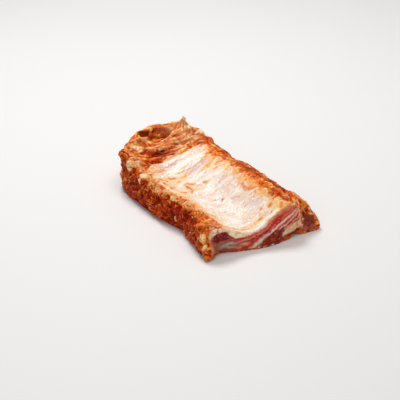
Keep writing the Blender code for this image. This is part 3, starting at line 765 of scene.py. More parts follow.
@dataclass
class MarinadeMap:
    """Relief and colours of the surfaces that the marinade covers.

    The shoulder is where the left wall turns into the top, as s and z along t. A patch is a middle
    and a half size in t and s, and how much fattier it looks. A lump of fat is a middle and a half
    size in t, s and z.
    """

    shoulder: Rail = Rail(((0, 13), (50, 15), (85, 9), (125, 6), (150, 6), (178, 6), (198, 9), (212, 19),
                           (224, 31), (232, 43), (236, 54)))
    shoulder_height: Rail = Rail(((0, 33), (60, 34), (120, 33), (150, 35), (175, 40), (195, 42), (212, 43),
                                  (224, 42), (231, 34), (236, 20)))
    patches: tuple[tuple[Flat, Flat, float], ...] = (
        ((130, 5), (50, 9), 0.75), ((30, 15), (30, 6), 0.4), ((25, 7), (25, 4), -0.3),
        ((172, 11), (14, 8), 0.5), ((191, 11), (8, 6), -0.6), ((197, 24), (8, 9), 0.45),
        ((174, 26), (6, 12), -0.3), ((213, 54), (9, 11), -0.9), ((205, 77), (12, 14), 0.5),
        ((184, 86), (5, 5), -0.5), ((228, 60), (6, 34), 0.6), ((206, 30), (8, 10), 0.35),
        ((191, 62), (8, 14), 0.3), ((178, 82), (4, 10), 0.5), ((158, 8), (10, 5), 0.3),
        ((88, 11), (24, 8), 0.5), ((201, 16), (9, 10), 0.3),
    )
    lumps: tuple[tuple[Spot, Spot], ...] = (
        ((172.5, -1.5, 37.8), (4.6, 4.5, 4.0)), ((171.0, -2.5, 33.0), (2.6, 3.5, 2.2)),
        ((144.5, 3.2, 34.0), (5.8, 4.0, 3.2)), ((145.3, -2.0, 29.2), (3.0, 3.4, 4.2)),
        ((85.5, 8.2, 30.4), (3.1, 2.9, 2.1)), ((78.0, 6.8, 11.2), (1.9, 2.4, 3.0)),
        ((7.5, 3.0, 20.0), (5.6, 3.5, 4.8)), ((0.8, 2.2, 13.5), (2.4, 3.0, 3.4)),
        ((114.0, 4.5, 29.4), (3.4, 2.6, 1.5)), ((198.0, 97.5, 45.0), (4.4, 3.8, 3.2)),
        ((122.0, 6.0, 32.0), (2.4, 2.0, 1.4)), ((60.0, 15.5, 32.5), (2.2, 1.8, 1.4)),
    )
    rim_strokes: tuple[Stroke, ...] = (
        Stroke(((114.5, 93), (104, 97.4), (78, 96), (58, 96)), 2.4, 0.75, (150, 62, 34)),
        Stroke(((66, 102.5), (48, 105), (30, 108), (13, 116)), 2.2, 0.6, (196, 106, 66)),
        Stroke(((52, 100.4), (33, 101.4), (21, 104), (14, 108)), 2.9, 0.95, (150, 28, 8)),
        Stroke(((44, 104), (28, 107), (12, 113)), 2.4, 0.85, (204, 54, 14)),
        Stroke(((60, 106), (44, 108.5), (28, 111.5)), 1.8, 0.8, (216, 132, 98)),
        Stroke(((24, 86), (12, 90), (4, 96.5), (1, 104)), 1.6, 0.85, (250, 212, 160)),
        Stroke(((40, 96), (24, 97), (10, 102)), 1.6, 0.7, (232, 150, 76)),
        Stroke(((150, 98), (130, 99), (112, 99)), 2.0, 0.6, (164, 74, 40)),
    )
    # Folds with a negative height are dents, and they take dark reds: painted shade in the hollow, over the
    # meat's own red.
    folds: tuple[Fold, ...] = (
        Fold((216.0, 64.0, 40.0), (7.0, 9.0, 5.0), (156, 40, 14), 0.7, -0.6, 0.3),
        Fold((219.8, 60.0, 47.0), (5.0, 13.0, 5.5), (212, 124, 90), 0.85, 0.2, 0.4),
        Fold((216.0, 52.5, 43.0), (6.0, 3.0, 6.0), (216, 110, 62), 0.7, 0.6, 0.5),
        Fold((218.5, 36.5, 46.5), (5.0, 5.6, 4.6), (124, 40, 14), 0.8, -0.8, 0.6),
        Fold((215.5, 46.3, 46.0), (7.0, 3.0, 7.0), (220, 118, 62), 0.85, 0.8, 0.8),
        Fold((212.0, 33.0, 43.5), (5.0, 8.0, 3.0), (214, 128, 72), 0.6, 0.5, 0.5),
        Fold((208.5, 72.0, 45.0), (8.0, 4.0, 5.0), (206, 124, 84), 0.6, 0.5, 0.4),
        Fold((188.5, 42.0, 32.0), (4.0, 14.0, 5.0), (132, 30, 10), 0.9, -0.5, 0.5),
        Fold((193.0, 14.0, 40.0), (7.0, 5.0, 6.0), (160, 76, 52), 0.6),
        Fold((175.0, 12.0, 38.0), (13.0, 5.0, 5.0), (178, 100, 70), 0.6),
    )
    lump_reach: float = 1.15
    peak: Flat = (221.0, 88.0)
    peak_back: float = 3.0
    top_tone: float = 1.33
    wall_tone: float = -0.08
    flap_tone: float = 1.0
    noise: Noise = Noise(5)

    def lump_cover(self, p: np.ndarray) -> np.ndarray:
        """How far each place lies in a cream lump of fat: 0 outside and 1 on its middle."""
        torn = self.noise.shift(p, 4.6, 1.5)
        best = np.zeros(len(p))
        for place, half in self.lumps:
            best = np.maximum(best, self.lump_reach - away(torn, place, half))
        return np.clip(best, 0.0, 1.0)

    def hidden(self, p: np.ndarray) -> np.ndarray:
        """1 on the right wall and the far end, where long muscle folds show more than crumbs."""
        t, s, z = p[:, 0], p[:, 1], p[:, 2]
        right_wall = rise(s, 97, 105) * rise(t, 24, 38)
        far_wall = rise(t, 214, 224) * rise(s, 30, 50)
        return np.maximum(right_wall, far_wall) * rise(z, 38, 32)

    def crags(self, p: np.ndarray) -> np.ndarray:
        """Lumpy height of the surface, -1 in a hollow and 1 on a crest.

        Args:
            p: places as t, s and z.

        Returns:
            One height for each place.
        """
        noise = self.noise
        torn = noise.shift(p, 11.0, 3.6)
        torn = noise.shift(torn, 4.6, 1.3)
        crumbs = 0.36 * noise.pebbles(torn, 5.2) + 0.30 * noise.pebbles(torn + 50, 2.9)
        lumps = 0.55 * noise.cloud(torn, 12.0, 2) + crumbs + 0.22 * noise.ridges(torn + 20, 6.0)
        folds = noise.drawn(torn, 5.2, 19.0, 6.5) + 0.5 * noise.drawn(torn, 2.6, 10.0, 3.2)
        grain = noise.drawn(torn, 26.0, 4.2, 4.6) + 0.5 * noise.drawn(torn, 13.0, 2.2, 2.4)
        fibres, where = self.fan(p)
        folds = folds * (1 - where) + 1.4 * fibres * where
        far = rise(p[:, 0], 174, 182) * rise(p[:, 1], 8, 16) * 0.62
        right = rise(p[:, 1], 88, 98) * 0.72
        height = lumps * (1 - far) + 1.1 * folds * far
        height = height * (1 - right) + 1.1 * grain * right
        muscle = noise.drawn(torn, 34.0, 9.0, 6.5) + 0.4 * noise.drawn(torn, 12.0, 4.0, 3.2)
        hidden = self.hidden(p)
        height = height * (1 - 0.75 * hidden) + 0.85 * muscle * hidden
        strands, where = self.strands(p)
        height = height * (1 - 0.8 * where) + 1.1 * strands * where
        bent = noise.shift(p, 6.0, 1.6)
        for fold in self.folds:
            share = fold.pull * fold.share(bent)
            height = height * (1 - share) + fold.height * share
        lump = self.lump_cover(p)
        height = height * (1 - 0.75 * rise(lump, 0, 0.3)) + 0.75 * np.sqrt(lump)
        return np.clip(1.25 * height, -1.0, 1.0)

    def fan(self, p: np.ndarray) -> tuple[np.ndarray, np.ndarray]:
        """Fibres that spread from the pointed tip of the far end.

        Args:
            p: places as t, s and z.

        Returns:
            Height of the fibres, and where they lie.
        """
        side, back = p[:, 1] - self.peak[1], self.peak[0] + self.peak_back - p[:, 0]
        reach = np.hypot(side, back)
        turn = np.arctan2(side, back) * 20.0
        fibres = self.noise.at(np.stack([turn / 2.6, reach / 15.0, p[:, 2] / 15.0], axis=1))
        fibres = fibres + 0.5 * self.noise.at(np.stack([turn / 1.3, reach / 9.0, p[:, 2] / 9.0], axis=1))
        where = rise(reach, 30, 20) * rise(p[:, 0], 194, 202) * rise(p[:, 2], 37, 42)
        where = where * rise(p[:, 0], 225, 221) * rise(p[:, 1], 106, 100) * rise(p[:, 1], 62, 71)
        return fibres, where

    def strands(self, p: np.ndarray) -> tuple[np.ndarray, np.ndarray]:
        """Long muscle strands that cross the rack before the far end.

        Args:
            p: places as t, s and z.

        Returns:
            Height of the strands, and where they lie.
        """
        bent = self.noise.shift(p, 16.0, 3.5)
        rows = np.stack([bent[:, 0] / 2.9, bent[:, 1] / 19.0, bent[:, 2] / 3.6], axis=1)
        height = self.noise.at(rows + 3.0) + 0.55 * self.noise.at(rows * 2.1 + 5.0)
        t, s = p[:, 0] + 2.5 * self.noise.cloud(p, 8.0, 2), p[:, 1] + 4.0 * self.noise.cloud(p + 5.0, 8.0, 2)
        where = rise(t, 183, 187) * rise(t, 209, 203) * rise(s, 34, 44) * rise(s, 99, 91)
        return height, where

    def tone(self, p: np.ndarray) -> np.ndarray:
        """Blend between the three looks, 0 to 2, at each place."""
        t, s, z = p[:, 0], p[:, 1], p[:, 2]
        on_top = rise(z - self.shoulder_height(t), -8.5, -0.5) * rise(s - self.shoulder(t), -11, -2)
        tone = self.wall_tone + 0.40 * rise(t, 150, 200) + 1.08 * rise(t, 30, 6)
        top = np.full(len(p), self.top_tone)
        for middle, half, more in self.patches:
            top += more * near(p[:, :2], middle, half)
        tone = tone * (1 - on_top) + on_top * top
        right = rise(s, 86, 94)
        tone = tone * (1 - right) + right * (1.3 - 0.75 * rise(s, 91, 96))
        tone = tone - 0.35 * self.hidden(p)
        flap = rise(s, 106, 112) * rise(t, 44, 28)
        tone = tone * (1 - flap) + flap * self.flap_tone
        # Painted shade: the tone darkens towards the floor, where the lower wall lies in shade.
        tone = tone * (1.0 - 0.5 * rise(z, 8, 0))
        uneven = 0.55 * self.noise.cloud(p + 33.0, 24.0, 2) + 0.25 * self.noise.at(p / 7.5)
        return np.clip(tone + uneven, 0.0, 2.0)

    def colors(self, p: np.ndarray, crag: np.ndarray) -> np.ndarray:
        """Colours of the marinated surface.

        Args:
            p: places as t, s and z.
            crag: height of the surface there, -1 to 1.

        Returns:
            Rows of linear light.
        """
        tone = self.tone(p)
        fine = 0.42 * self.noise.cloud(p + 9.0, 2.3, 2)
        height = (crag * 1.15 + fine) * (1.0 + 0.4 * rise(p[:, 0], 178, 186))
        # The ramps paint shade into the hollows and highlights onto the crests.
        tint = Tint(MARINADE[Tone.DEEP](height))
        tint.blend(MARINADE[Tone.ORANGE](height), np.clip(tone, 0, 1))
        tint.blend(MARINADE[Tone.FATTY](height), np.clip(tone - 1, 0, 1))
        flesh = rise(self.noise.cloud(p + 60.0, 15.0, 2) + 0.35 * self.hidden(p), 0.22, 0.52)
        tint.lay((176, 66, 34), 0.5 * flesh * rise(crag, 0.7, 0.1))
        strings = self.noise.ridges(self.noise.shift(p + 80.0, 8.0, 3.0) / np.array([2.4, 1.0, 1.0]), 3.6)
        tint.lay((248, 172, 88), 0.65 * rise(strings, -0.72, -0.92) * rise(crag, -0.4, 0.2))
        self._far_end(tint, p)
        bent = self.noise.shift(p, 6.0, 1.6)
        # Fold colours; the dark reds of the dents are painted shade.
        for fold in self.folds:
            tint.lay(fold.color, fold.cover * fold.share(bent) * (0.8 + 1.6 * fine))
        lump = self.lump_cover(p)
        stain = self.noise.cloud(p + 120.0, 2.6, 2)
        tint.lay((250, 210, 150), 0.9 * rise(lump, 0.1, 0.3) * rise(stain - 0.4 * lump, 0.3, 0.1))
        tint.lay((255, 244, 222), 0.9 * rise(lump, 0.36, 0.66) * rise(stain, 0.24, 0.04))
        tint.lay_strokes(self.noise.shift(p, 5.0, 1.4)[:, :2], self.rim_strokes)
        return tint.rows

    def _far_end(self, tint: Tint, p: np.ndarray) -> None:
        """Fibres round the peak, and the long strands before it."""
        fibres, where = self.fan(p)
        tint.lay((246, 170, 100), 0.7 * where)
        tint.lay((255, 232, 190), 0.85 * where * rise(fibres, 0.02, 0.32))
        tint.lay((206, 88, 26), 0.7 * where * rise(fibres, -0.14, -0.44))
        strands, where = self.strands(p)
        patch = ease(0.6 + 1.8 * self.noise.cloud(p + 44.0, 7.0, 2))
        tint.lay((216, 126, 80), 0.75 * where * patch)
        tint.lay((160, 64, 36), 0.75 * where * rise(strands, -0.08, -0.38))
        high = rise(p[:, 2], 34, 38)
        tint.lay((250, 200, 142), 0.8 * where * rise(strands, 0.16, 0.41) * patch * high)


class Wiring:
    """Adds nodes to a node tree and joins them."""

    def __init__(self, tree: bpy.types.NodeTree) -> None:
        """Work on one tree."""
        self.nodes, self.join = tree.nodes, tree.links.new

    def add(self, kind: str, inputs: dict[int | str, object], **settings: object) -> bpy.types.Node:
        """Add a node.

        Args:
            kind: Blender's own name of the node.
            inputs: by name or number, the socket that feeds an input, or its value.
            settings: properties of the node.

        Returns:
            The node.
        """
        node = self.nodes.new(kind)
        for name, value in settings.items():
            setattr(node, name, value)
        self.feed(node, inputs)
        return node

    def feed(self, node: bpy.types.Node, inputs: dict[int | str, object]) -> None:
        """Join sockets to a node's inputs, or set the values of the inputs."""
        for name, given in inputs.items():
            if isinstance(given, Socket):
                self.join(given, node.inputs[name])
            else:
                node.inputs[name].default_value = given

    def times(self, first: Socket, last: Socket | float) -> Socket:
        """Product of two values."""
        return self.add("ShaderNodeMath", {0: first, 1: last}, operation="MULTIPLY").outputs[0]

    def attribute(self, name: str, output: str) -> Socket:
        """One attribute of the piece."""
        return self.add("ShaderNodeAttribute", {}, attribute_name=name).outputs[output]

    def noise(self, place: Socket, size: float, detail: float, rough: float) -> Socket:
        """Noise of a size in millimetres, on the piece's own coordinates."""
        settings = {"Vector": place, "Scale": 1.0 / (size * MM), "Detail": detail, "Roughness": rough}
        return self.add("ShaderNodeTexNoise", settings).outputs["Fac"]

    def stretch(self, value: Socket, before: Flat, after: Flat) -> Socket:
        """Value stretched from one range to another."""
        ends = {"From Min": before[0], "From Max": before[1], "To Min": after[0], "To Max": after[1]}
        return self.add("ShaderNodeMapRange", {"Value": value, **ends}).outputs["Result"]

    def mix(self, kind: str, share: Socket, base: Socket, other: object) -> Socket:
        """Mix of two colours, the second of which is a socket or four numbers."""
        inputs = {0: share, 6: base, 7: other}
        return self.add("ShaderNodeMix", inputs, data_type="RGBA", blend_type=kind).outputs[2]


@dataclass(frozen=True)
class WetFinish:
    """Finish of raw meat and fat: wet skin over soft tissue, coloured by the piece's own tint."""

    name: str
    grain: float = 1.9
    mottling: float = 0.8
    shades: Flat = (0.55, 1.35)
    painted_glint: float = 0.35
    painted_glint_color: Color = (248, 162, 76)
    painted_glint_edge: Flat = (0.60, 0.72)
    rough: Flat = (0.26, 0.55)
    gloss: float = 0.03
    sheen: Color = (1.0, 0.62, 0.38)
    index: float = 1.42
    coat: float = 0.5
    coat_rough: float = 0.12
    coat_index: float = 1.4
    coat_edge: Flat = (0.57, 0.66)
    under: float = 0.10
    under_scale: float = 2.2
    under_reach: Color = (1.0, 0.35, 0.2)
    bump: float = 0.35
    bump_height: float = 0.7
    middle: Flat = (0.3, 0.7)

    def make(self) -> bpy.types.Material:
        """Build the material.

        Returns:
            The material, which reads the attributes tint and grit.
        """
        material = bpy.data.materials.new(self.name)
        material.use_nodes = True
        wiring = Wiring(material.node_tree)
        place = wiring.add("ShaderNodeTexCoord", {}).outputs["Object"]
        tint, grit = wiring.attribute("tint", "Color"), wiring.attribute("grit", "Fac")
        fine = wiring.noise(place, self.grain, 4.0, 0.62)
        coarse = wiring.noise(place, self.grain * 2.6, 3.0, 0.55)
        tiny = wiring.noise(place, self.grain * 0.5, 2.0, 0.5)
        wet = wiring.noise(place, self.grain * 1.3, 2.0, 0.5)
        shade = wiring.stretch(fine, self.middle, self.shades)
        tint = wiring.mix("MULTIPLY", wiring.times(grit, self.mottling), tint, shade)
        # Painted highlights: small bright flecks laid into the base colour as glints.
        painted_glint = wiring.times(wiring.stretch(tiny, self.painted_glint_edge, (0.0, self.painted_glint)), grit)
        wiring.feed(material.node_tree.nodes["Principled BSDF"], {
            "Base Color": wiring.mix("MIX", painted_glint, tint, (*linear(self.painted_glint_color), 1.0)),
            "Roughness": wiring.stretch(coarse, self.middle, self.rough),
            "Coat Weight": wiring.stretch(wet, self.coat_edge, (0.0, self.coat)),
            "Coat Roughness": self.coat_rough,
            "Coat IOR": self.coat_index,
            "Subsurface Weight": self.under,
            "Subsurface Radius": self.under_reach,
            "Subsurface Scale": self.under_scale * MM,
            "IOR": self.index,
            "Specular IOR Level": self.gloss,
            "Specular Tint": (*self.sheen, 1.0),
            "Normal": self._bumps(wiring, fine, tiny, grit),
        })
        return material

    def _bumps(self, wiring: Wiring, fine: Socket, tiny: Socket, grit: Socket) -> Socket:
        """Surface raised by its grain, more where the marinade is."""
        height = wiring.add("ShaderNodeMath", {0: tiny, 1: 0.4, 2: fine}, operation="MULTIPLY_ADD")
        strength = wiring.stretch(grit, (0.0, 1.0), (0.3 * self.bump, self.bump))
        inputs = {"Distance": self.bump_height * MM, "Strength": strength, "Height": height.outputs[0]}
        return wiring.add("ShaderNodeBump", inputs).outputs["Normal"]


def place_object(name: str, data: bpy.types.ID) -> bpy.types.Object:
    """Link a new object that holds a mesh, a light or a camera."""
    made = bpy.data.objects.new(name, data)
    bpy.context.scene.collection.objects.link(made)
    return made


def make_mesh(name: str, points: Sequence[Sequence[float]], edges: Sequence[tuple[int, int]],
              faces: Sequence[tuple[int, ...]]) -> bpy.types.Mesh:
    """Make a mesh.

    Args:
        name: the mesh's name.
        points: corners in metres.
        edges: corner numbers of each bare line.
        faces: corner numbers of each face.

    Returns:
        The mesh.
    """
    mesh = bpy.data.meshes.new(name)
    mesh.from_pydata([tuple(p) for p in points], edges, faces)
    mesh.update()
    return mesh


def bake(piece: bpy.types.Object) -> None:
    """Turn a piece's modifiers into plain mesh."""
    graph = bpy.context.evaluated_depsgraph_get()
    shaped = bpy.data.meshes.new_from_object(piece.evaluated_get(graph))
    piece.modifiers.clear()
    piece.data = shaped


def read_rows(corners: Sequence[object], name: str) -> np.ndarray:
    """Three numbers of every corner, as rows."""
    flat = np.zeros(len(corners) * 3)
    corners.foreach_get(name, flat)
    return flat.reshape(-1, 3)


def read_points(mesh: bpy.types.Mesh) -> np.ndarray:
    """Corners of a mesh as rows."""
    return read_rows(mesh.vertices, "co")


def read_arrows(mesh: bpy.types.Mesh) -> np.ndarray:
    """Directions of a mesh's corners as rows."""
    return read_rows(mesh.vertex_normals, "vector")


def write_points(mesh: bpy.types.Mesh, points: np.ndarray) -> None:
    """Put a mesh's corners in new places."""
    mesh.vertices.foreach_set("co", points.astype(np.float32).ravel())
    mesh.update()


def keep_above_floor(mesh: bpy.types.Mesh) -> None:
    """Flatten what would sink into the floor."""
    points = read_points(mesh)
    points[:, 2] = np.maximum(points[:, 2], 0.0)
    write_points(mesh, points)


def keep(mesh: bpy.types.Mesh, name: str, values: np.ndarray) -> None:
    """Keep one number for each corner of a mesh."""
    mesh.attributes.new(name, "FLOAT", "POINT").data.foreach_set("value", values.astype(np.float32))


def paint(mesh: bpy.types.Mesh, tint: np.ndarray, grit: np.ndarray) -> None:
    """Keep a colour and a coarseness for each corner of a mesh.

    Args:
        mesh: the mesh.
        tint: rows of linear light.
        grit: 0 on smooth fat to 1 on marinade.
    """
    colors = np.column_stack([np.clip(tint, 0.0, 1.0), np.ones(len(tint))]).astype(np.float32)
    mesh.attributes.new("tint", "FLOAT_COLOR", "POINT").data.foreach_set("color", colors.ravel())
    keep(mesh, "grit", grit)


def smooth_shade(mesh: bpy.types.Mesh) -> None:
    """Shade a mesh smooth."""
    mesh.polygons.foreach_set("use_smooth", np.ones(len(mesh.polygons), bool))


@contextmanager
def reshaping(mesh: bpy.types.Mesh) -> Iterator[bmesh.types.BMesh]:
    """Open a mesh for reshaping, and write it back afterwards."""
    shape = bmesh.new()
    shape.from_mesh(mesh)
    yield shape
    shape.to_mesh(mesh)
    shape.free()


def face_outward(mesh: bpy.types.Mesh) -> None:
    """Turn every face of a closed mesh outward."""
    with reshaping(mesh) as shape:
        bmesh.ops.recalc_face_normals(shape, faces=shape.faces)
        if shape.calc_volume(signed=True) < 0:
            bmesh.ops.reverse_faces(shape, faces=shape.faces)


def run_nodes(piece: bpy.types.Object, name: str, given: dict[str, tuple[str, object]],
              wire: Callable[[Wiring, Sequence[Socket]], Socket]) -> None:
    """Reshape a piece with a Geometry Nodes tree, and keep what it makes as plain mesh.

    Args:
        piece: the piece, whose mesh goes into the tree.
        name: name of the tree.
        given: kind and value of each of the tree's inputs.
        wire: adds the nodes from the tree's inputs to the shape that it makes.
    """
    tree = bpy.data.node_groups.new(name, "GeometryNodeTree")
    face = tree.interface
    face.new_socket(name="Geometry", in_out="INPUT", socket_type="NodeSocketGeometry")
    sockets = {key: face.new_socket(name=key, in_out="INPUT", socket_type="NodeSocket" + kind)
               for key, (kind, _) in given.items()}
    face.new_socket(name="Geometry", in_out="OUTPUT", socket_type="NodeSocketGeometry")
    wiring = Wiring(tree)
    inlet = wiring.add("NodeGroupInput", {}).outputs
    real = wiring.add("GeometryNodeRealizeInstances", {"Geometry": wire(wiring, inlet)}).outputs["Geometry"]
    dressed = wiring.add("GeometryNodeSetMaterial", {"Geometry": real, "Material": inlet["Material"]})
    wiring.add("NodeGroupOutput", {"Geometry": dressed.outputs["Geometry"]})
    step = piece.modifiers.new(name, "NODES")
    step.node_group = tree
    for key, (_, value) in given.items():
        step[sockets[key].identifier] = value
    bake(piece)


@dataclass
class Surface:
    """Shape of the whole rack before it is parted into pieces, and the maps that colour it.

    The growth, the weld and the crag depth are in millimetres, and so is the voxel. The fine cut is
    how far in from the cut end the faces are halved.
    """

    place: RackFrame
    bone: BoneSideMap
    cut: CutFaceMap
    marinade: MarinadeMap
    voxel: float = 1.08
    plate_growth: float = 0.45
    weld: float = 0.001
    smooth_rounds: int = 2
    crag_depth: float = 1.6
    fine_cut: float = 11.0
    facing_cut: float = 0.25

    def shares(self, p: np.ndarray, arrows: np.ndarray) -> tuple[np.ndarray, np.ndarray]:
        """Which surface each place belongs to.

        Args:
            p: places as t, s and z.
            arrows: directions of the surface along t, s and z.

        Returns:
            Share of the cut face and share of the pale side.
        """
        facing = rise(arrows[:, 0], -0.42, -0.67)
        on_cut = facing * rise(p[:, 0], 20, 15) * rise(p[:, 1], 131, 128)
        on_cut = on_cut * rise(p[:, 1], 5, 8)
        ragged = self.marinade.noise.at(p / 3.2)
        on_cut = on_cut * rise(p[:, 2] - 1.4 * ragged, 1.7, 2.7)
        skin = rise(p[:, 1], 112.5, 114) * rise(p[:, 2] + 0.62 * (p[:, 1] - 113.0) - ragged, 23.5, 25)
        on_cut = on_cut * (1 - skin) * rise(ragged - p[:, 1], -129.5, -127.5)
        depth = self.bone.edge_depth(p)
        upward = rise(arrows[:, 2], 0.15, 0.45)
        return on_cut, rise(depth, -1, 2.5) * upward

    def colors(self, p: np.ndarray, arrows: np.ndarray) -> tuple[np.ndarray, np.ndarray]:
        """Colour and coarseness of each place.

        Args:
            p: places as t, s and z.
            arrows: directions of the surface along t, s and z.

        Returns:
            Rows of linear light, and coarseness from 0 to 1.
        """
        on_cut, pale = self.shares(p, arrows)
        tint = Tint(self.marinade.colors(p, self.marinade.crags(p)))
        tint.blend(self.bone.colors(p), pale)
        tint.blend(self.cut.colors(p), on_cut)
        grit = (1.0 - 0.92 * pale) * (1.0 - 0.8 * on_cut)
        return tint.rows, grit

    def skin(self) -> bpy.types.Object:
        """Melt the meat and the bone side into one fine, closed skin with its crags.

        Returns:
            The skin as a working object.
        """
        mesh = bpy.data.meshes.new("skin")
        both = bmesh.new()
        for name, grow in (("meat", 0.0), ("rib_plate", self.plate_growth)):
            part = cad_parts[name].data.copy()
            with reshaping(part) as shape:
                bmesh.ops.remove_doubles(shape, verts=shape.verts, dist=self.weld * MM)
                shape.normal_update()
                for corner in shape.verts:
                    corner.co += corner.normal * (grow * MM)
            both.from_mesh(part)
            bpy.data.meshes.remove(part)
        both.to_mesh(mesh)
        both.free()
        skin = place_object("skin", mesh)
        remesh = skin.modifiers.new("remesh", "REMESH")
        remesh.mode = "VOXEL"
        remesh.voxel_size = self.voxel * MM
        relax = skin.modifiers.new("relax", "SMOOTH")
        relax.factor = 0.5
        relax.iterations = self.smooth_rounds
        bake(skin)
        self._refine(skin.data)
        self._roughen(skin.data)
        return skin

    def _refine(self, mesh: bpy.types.Mesh) -> None:
        """Halve the faces of the cut face, for its thin seams."""
        limit = (self.place.middle_t - self.fine_cut) * MM
        with reshaping(mesh) as shape:
            edges = [e for e in shape.edges if min(v.co.x for v in e.verts) > limit
                     and max(v.normal.x for v in e.verts) > self.facing_cut]
            bmesh.ops.subdivide_edges(shape, edges=edges, cuts=1, use_grid_fill=True)
            bmesh.ops.triangulate(shape, faces=[f for f in shape.faces if len(f.verts) > 4])

    def _roughen(self, mesh: bpy.types.Mesh) -> None:
        """Push the marinated surface in and out by its crags."""
        points, arrows = read_points(mesh), read_arrows(mesh)
        p, a = self.place.to_rack(points), self.place.arrows_to_rack(arrows)
        on_cut, pale = self.shares(p, a)
        crag = self.marinade.crags(p)
        share = (1 - on_cut) * (1 - pale) * rise(p[:, 2], 0.6, 3.1)
        share = share * (1.0 - 0.25 * rise(p[:, 1], 92, 100))
        lift = self.crag_depth * crag * share + self.cut.relief(p) * on_cut
        write_points(mesh, points + arrows * (lift * MM)[:, None])


@dataclass
class MeatBody:
    """The meat: marinated sides and folds, and the cut face."""

    surface: Surface
    sink: float = 1.1
    sink_start: float = 2.0
    sink_full: float = 5.0
    cut_margin: float = 3.0
    finish: WetFinish = WetFinish("marinated_meat")

    def build(self, skin: bpy.types.Object) -> bpy.types.Object:
        """Make the meat from the skin, a little sunk where the bone side covers it.

        Args:
            skin: the rack's skin.

        Returns:
            The piece that stands for the meat.
        """
        piece = place_object("meat_skin", skin.data.copy())
        mesh = piece.data
        mesh.name = piece.name
        points, arrows = read_points(mesh), read_arrows(mesh)
        place = self.surface.place
        p, a = place.to_rack(points), place.arrows_to_rack(arrows)
        paint(mesh, *self.surface.colors(p, a))
        depth = np.minimum(self.surface.bone.inside(p[:, 0], p[:, 1]), p[:, 0] - self.cut_margin)
        under = rise(depth, self.sink_start, self.sink_full) * rise(a[:, 2], 0.3, 0.6)
        write_points(mesh, points - arrows * (self.sink * under * MM)[:, None])
        keep_above_floor(mesh)
        smooth_shade(mesh)
        mesh.materials.clear()
        mesh.materials.append(self.finish.make())
        return piece


@dataclass
class BoneSide:
    """The pale side over the bones: a fine sheet that lies in the meat.

    The sheet stands proud of the meat in the middle and dips into it round its rim. Its grid is
    dropped on the skin from above.
    """

    surface: Surface
    step: float = 0.63
    start: float = 1.5
    width: float = 76.0
    first_column: float = 20.0
    last_column: float = 90.0
    margin: float = 3.0
    thickness: float = 1.6
    dip: float = 0.9
    proud: float = 0.15
    above: float = 80.0
    missed: float = 20.0
    # The membrane's white flecks are painted highlights.
    finish: WetFinish = WetFinish("bone_side_membrane", grain=1.7, mottling=0.22, painted_glint=0.25,
                                  painted_glint_color=(255, 250, 242), rough=(0.2, 0.42), gloss=0.1,
                                  sheen=(1.0, 1.0, 1.0), coat=0.6, coat_rough=0.1, under=0.12,
                                  under_scale=2.0, bump=0.5)

    def build(self, skin: bpy.types.Object) -> bpy.types.Object:
        """Make the sheet by dropping a grid on the skin.

        Args:
            skin: the rack's skin.

        Returns:
            The piece that stands for the bone side.
        """
        bone, place = self.surface.bone, self.surface.place
        tree = BVHTree.FromObject(skin, bpy.context.evaluated_depsgraph_get())
        rows = int((float(bone.far.values.max()) + self.margin - self.start) / self.step)
        cols = int(self.width / self.step)
        grid = np.zeros((rows, cols, 3))
        for j, share in enumerate(np.linspace(0.0, 1.0, cols)):
            column = self.first_column + (self.last_column - self.first_column) * share
            t = np.linspace(self.start, float(bone.far(column)) + self.margin, rows)
            left, right = bone.left(t) - self.margin, bone.right(t) + self.margin
            grid[:, j, 0], grid[:, j, 1], grid[:, j, 2] = t, left + (right - left) * share, self.above
        places = grid.reshape(-1, 3)
        for k, start in enumerate(place.to_row(places)):
            hit = tree.ray_cast(Vector(start), Vector((0.0, 0.0, -1.0)))[0]
            places[k, 2] = hit.z / MM if hit else self.missed
        self._relax(grid[:, :, 2])
        return self._close(places, rows, cols)

    @staticmethod
    def _relax(z: np.ndarray) -> None:
        """Even out the steps that the skin's own faces leave in the grid's heights."""
        for _ in range(2):
            beside = z[:-2, 1:-1] + z[2:, 1:-1] + z[1:-1, :-2] + z[1:-1, 2:]
            z[1:-1, 1:-1] = 0.5 * z[1:-1, 1:-1] + 0.125 * beside

    def _close(self, p: np.ndarray, rows: int, cols: int) -> bpy.types.Object:
        """Add relief and a lower face, and close the rim.

        Args:
            p: grid of places as t, s and z, one row each.
            rows: number of rows along t.
            cols: number of columns along s.

        Returns:
            The finished piece.
        """
        bone = self.surface.bone
        rim = np.minimum(p[:, 0] - self.start, self.margin + bone.inside(p[:, 0], p[:, 1]))
        inner = np.zeros((rows, cols), bool)
        inner[1:-1, 1:-1] = True
        over = ease(rim / (self.margin + 1.5)) * inner.ravel()
        up = np.array([0.0, 0.0, 1.0])
        top = p + up * (bone.relief(p) * over + self.proud * over - self.dip * (1 - over))[:, None]
        low = p - up * self.thickness
        count = rows * cols
        faces = []
        for i, j in product(range(rows - 1), range(cols - 1)):
            a, b = i * cols + j, i * cols + j + 1
            c, d = b + cols, a + cols
            faces += [(a, b, c, d), (count + d, count + c, count + b, count + a)]
        first, last = list(range(cols)), list(range((rows - 1) * cols, count))
        right = [i * cols + cols - 1 for i in range(1, rows - 1)]
        left = [i * cols for i in range(1, rows - 1)]
        loop = first + right + last[::-1] + left[::-1]
        faces += [(b, a, count + a, count + b) for a, b in zip(loop, loop[1:] + loop[:1])]
        name = "bone_side_sheet"
        points = self.surface.place.to_row(np.concatenate([top, low]))
        piece = place_object(name, make_mesh(name, points, [], faces))
        face_outward(piece.data)
        paint(piece.data, *self.surface.colors(np.concatenate([p, p]), np.tile(up, (2 * count, 1))))
        smooth_shade(piece.data)
        piece.data.materials.append(self.finish.make())
        return piece


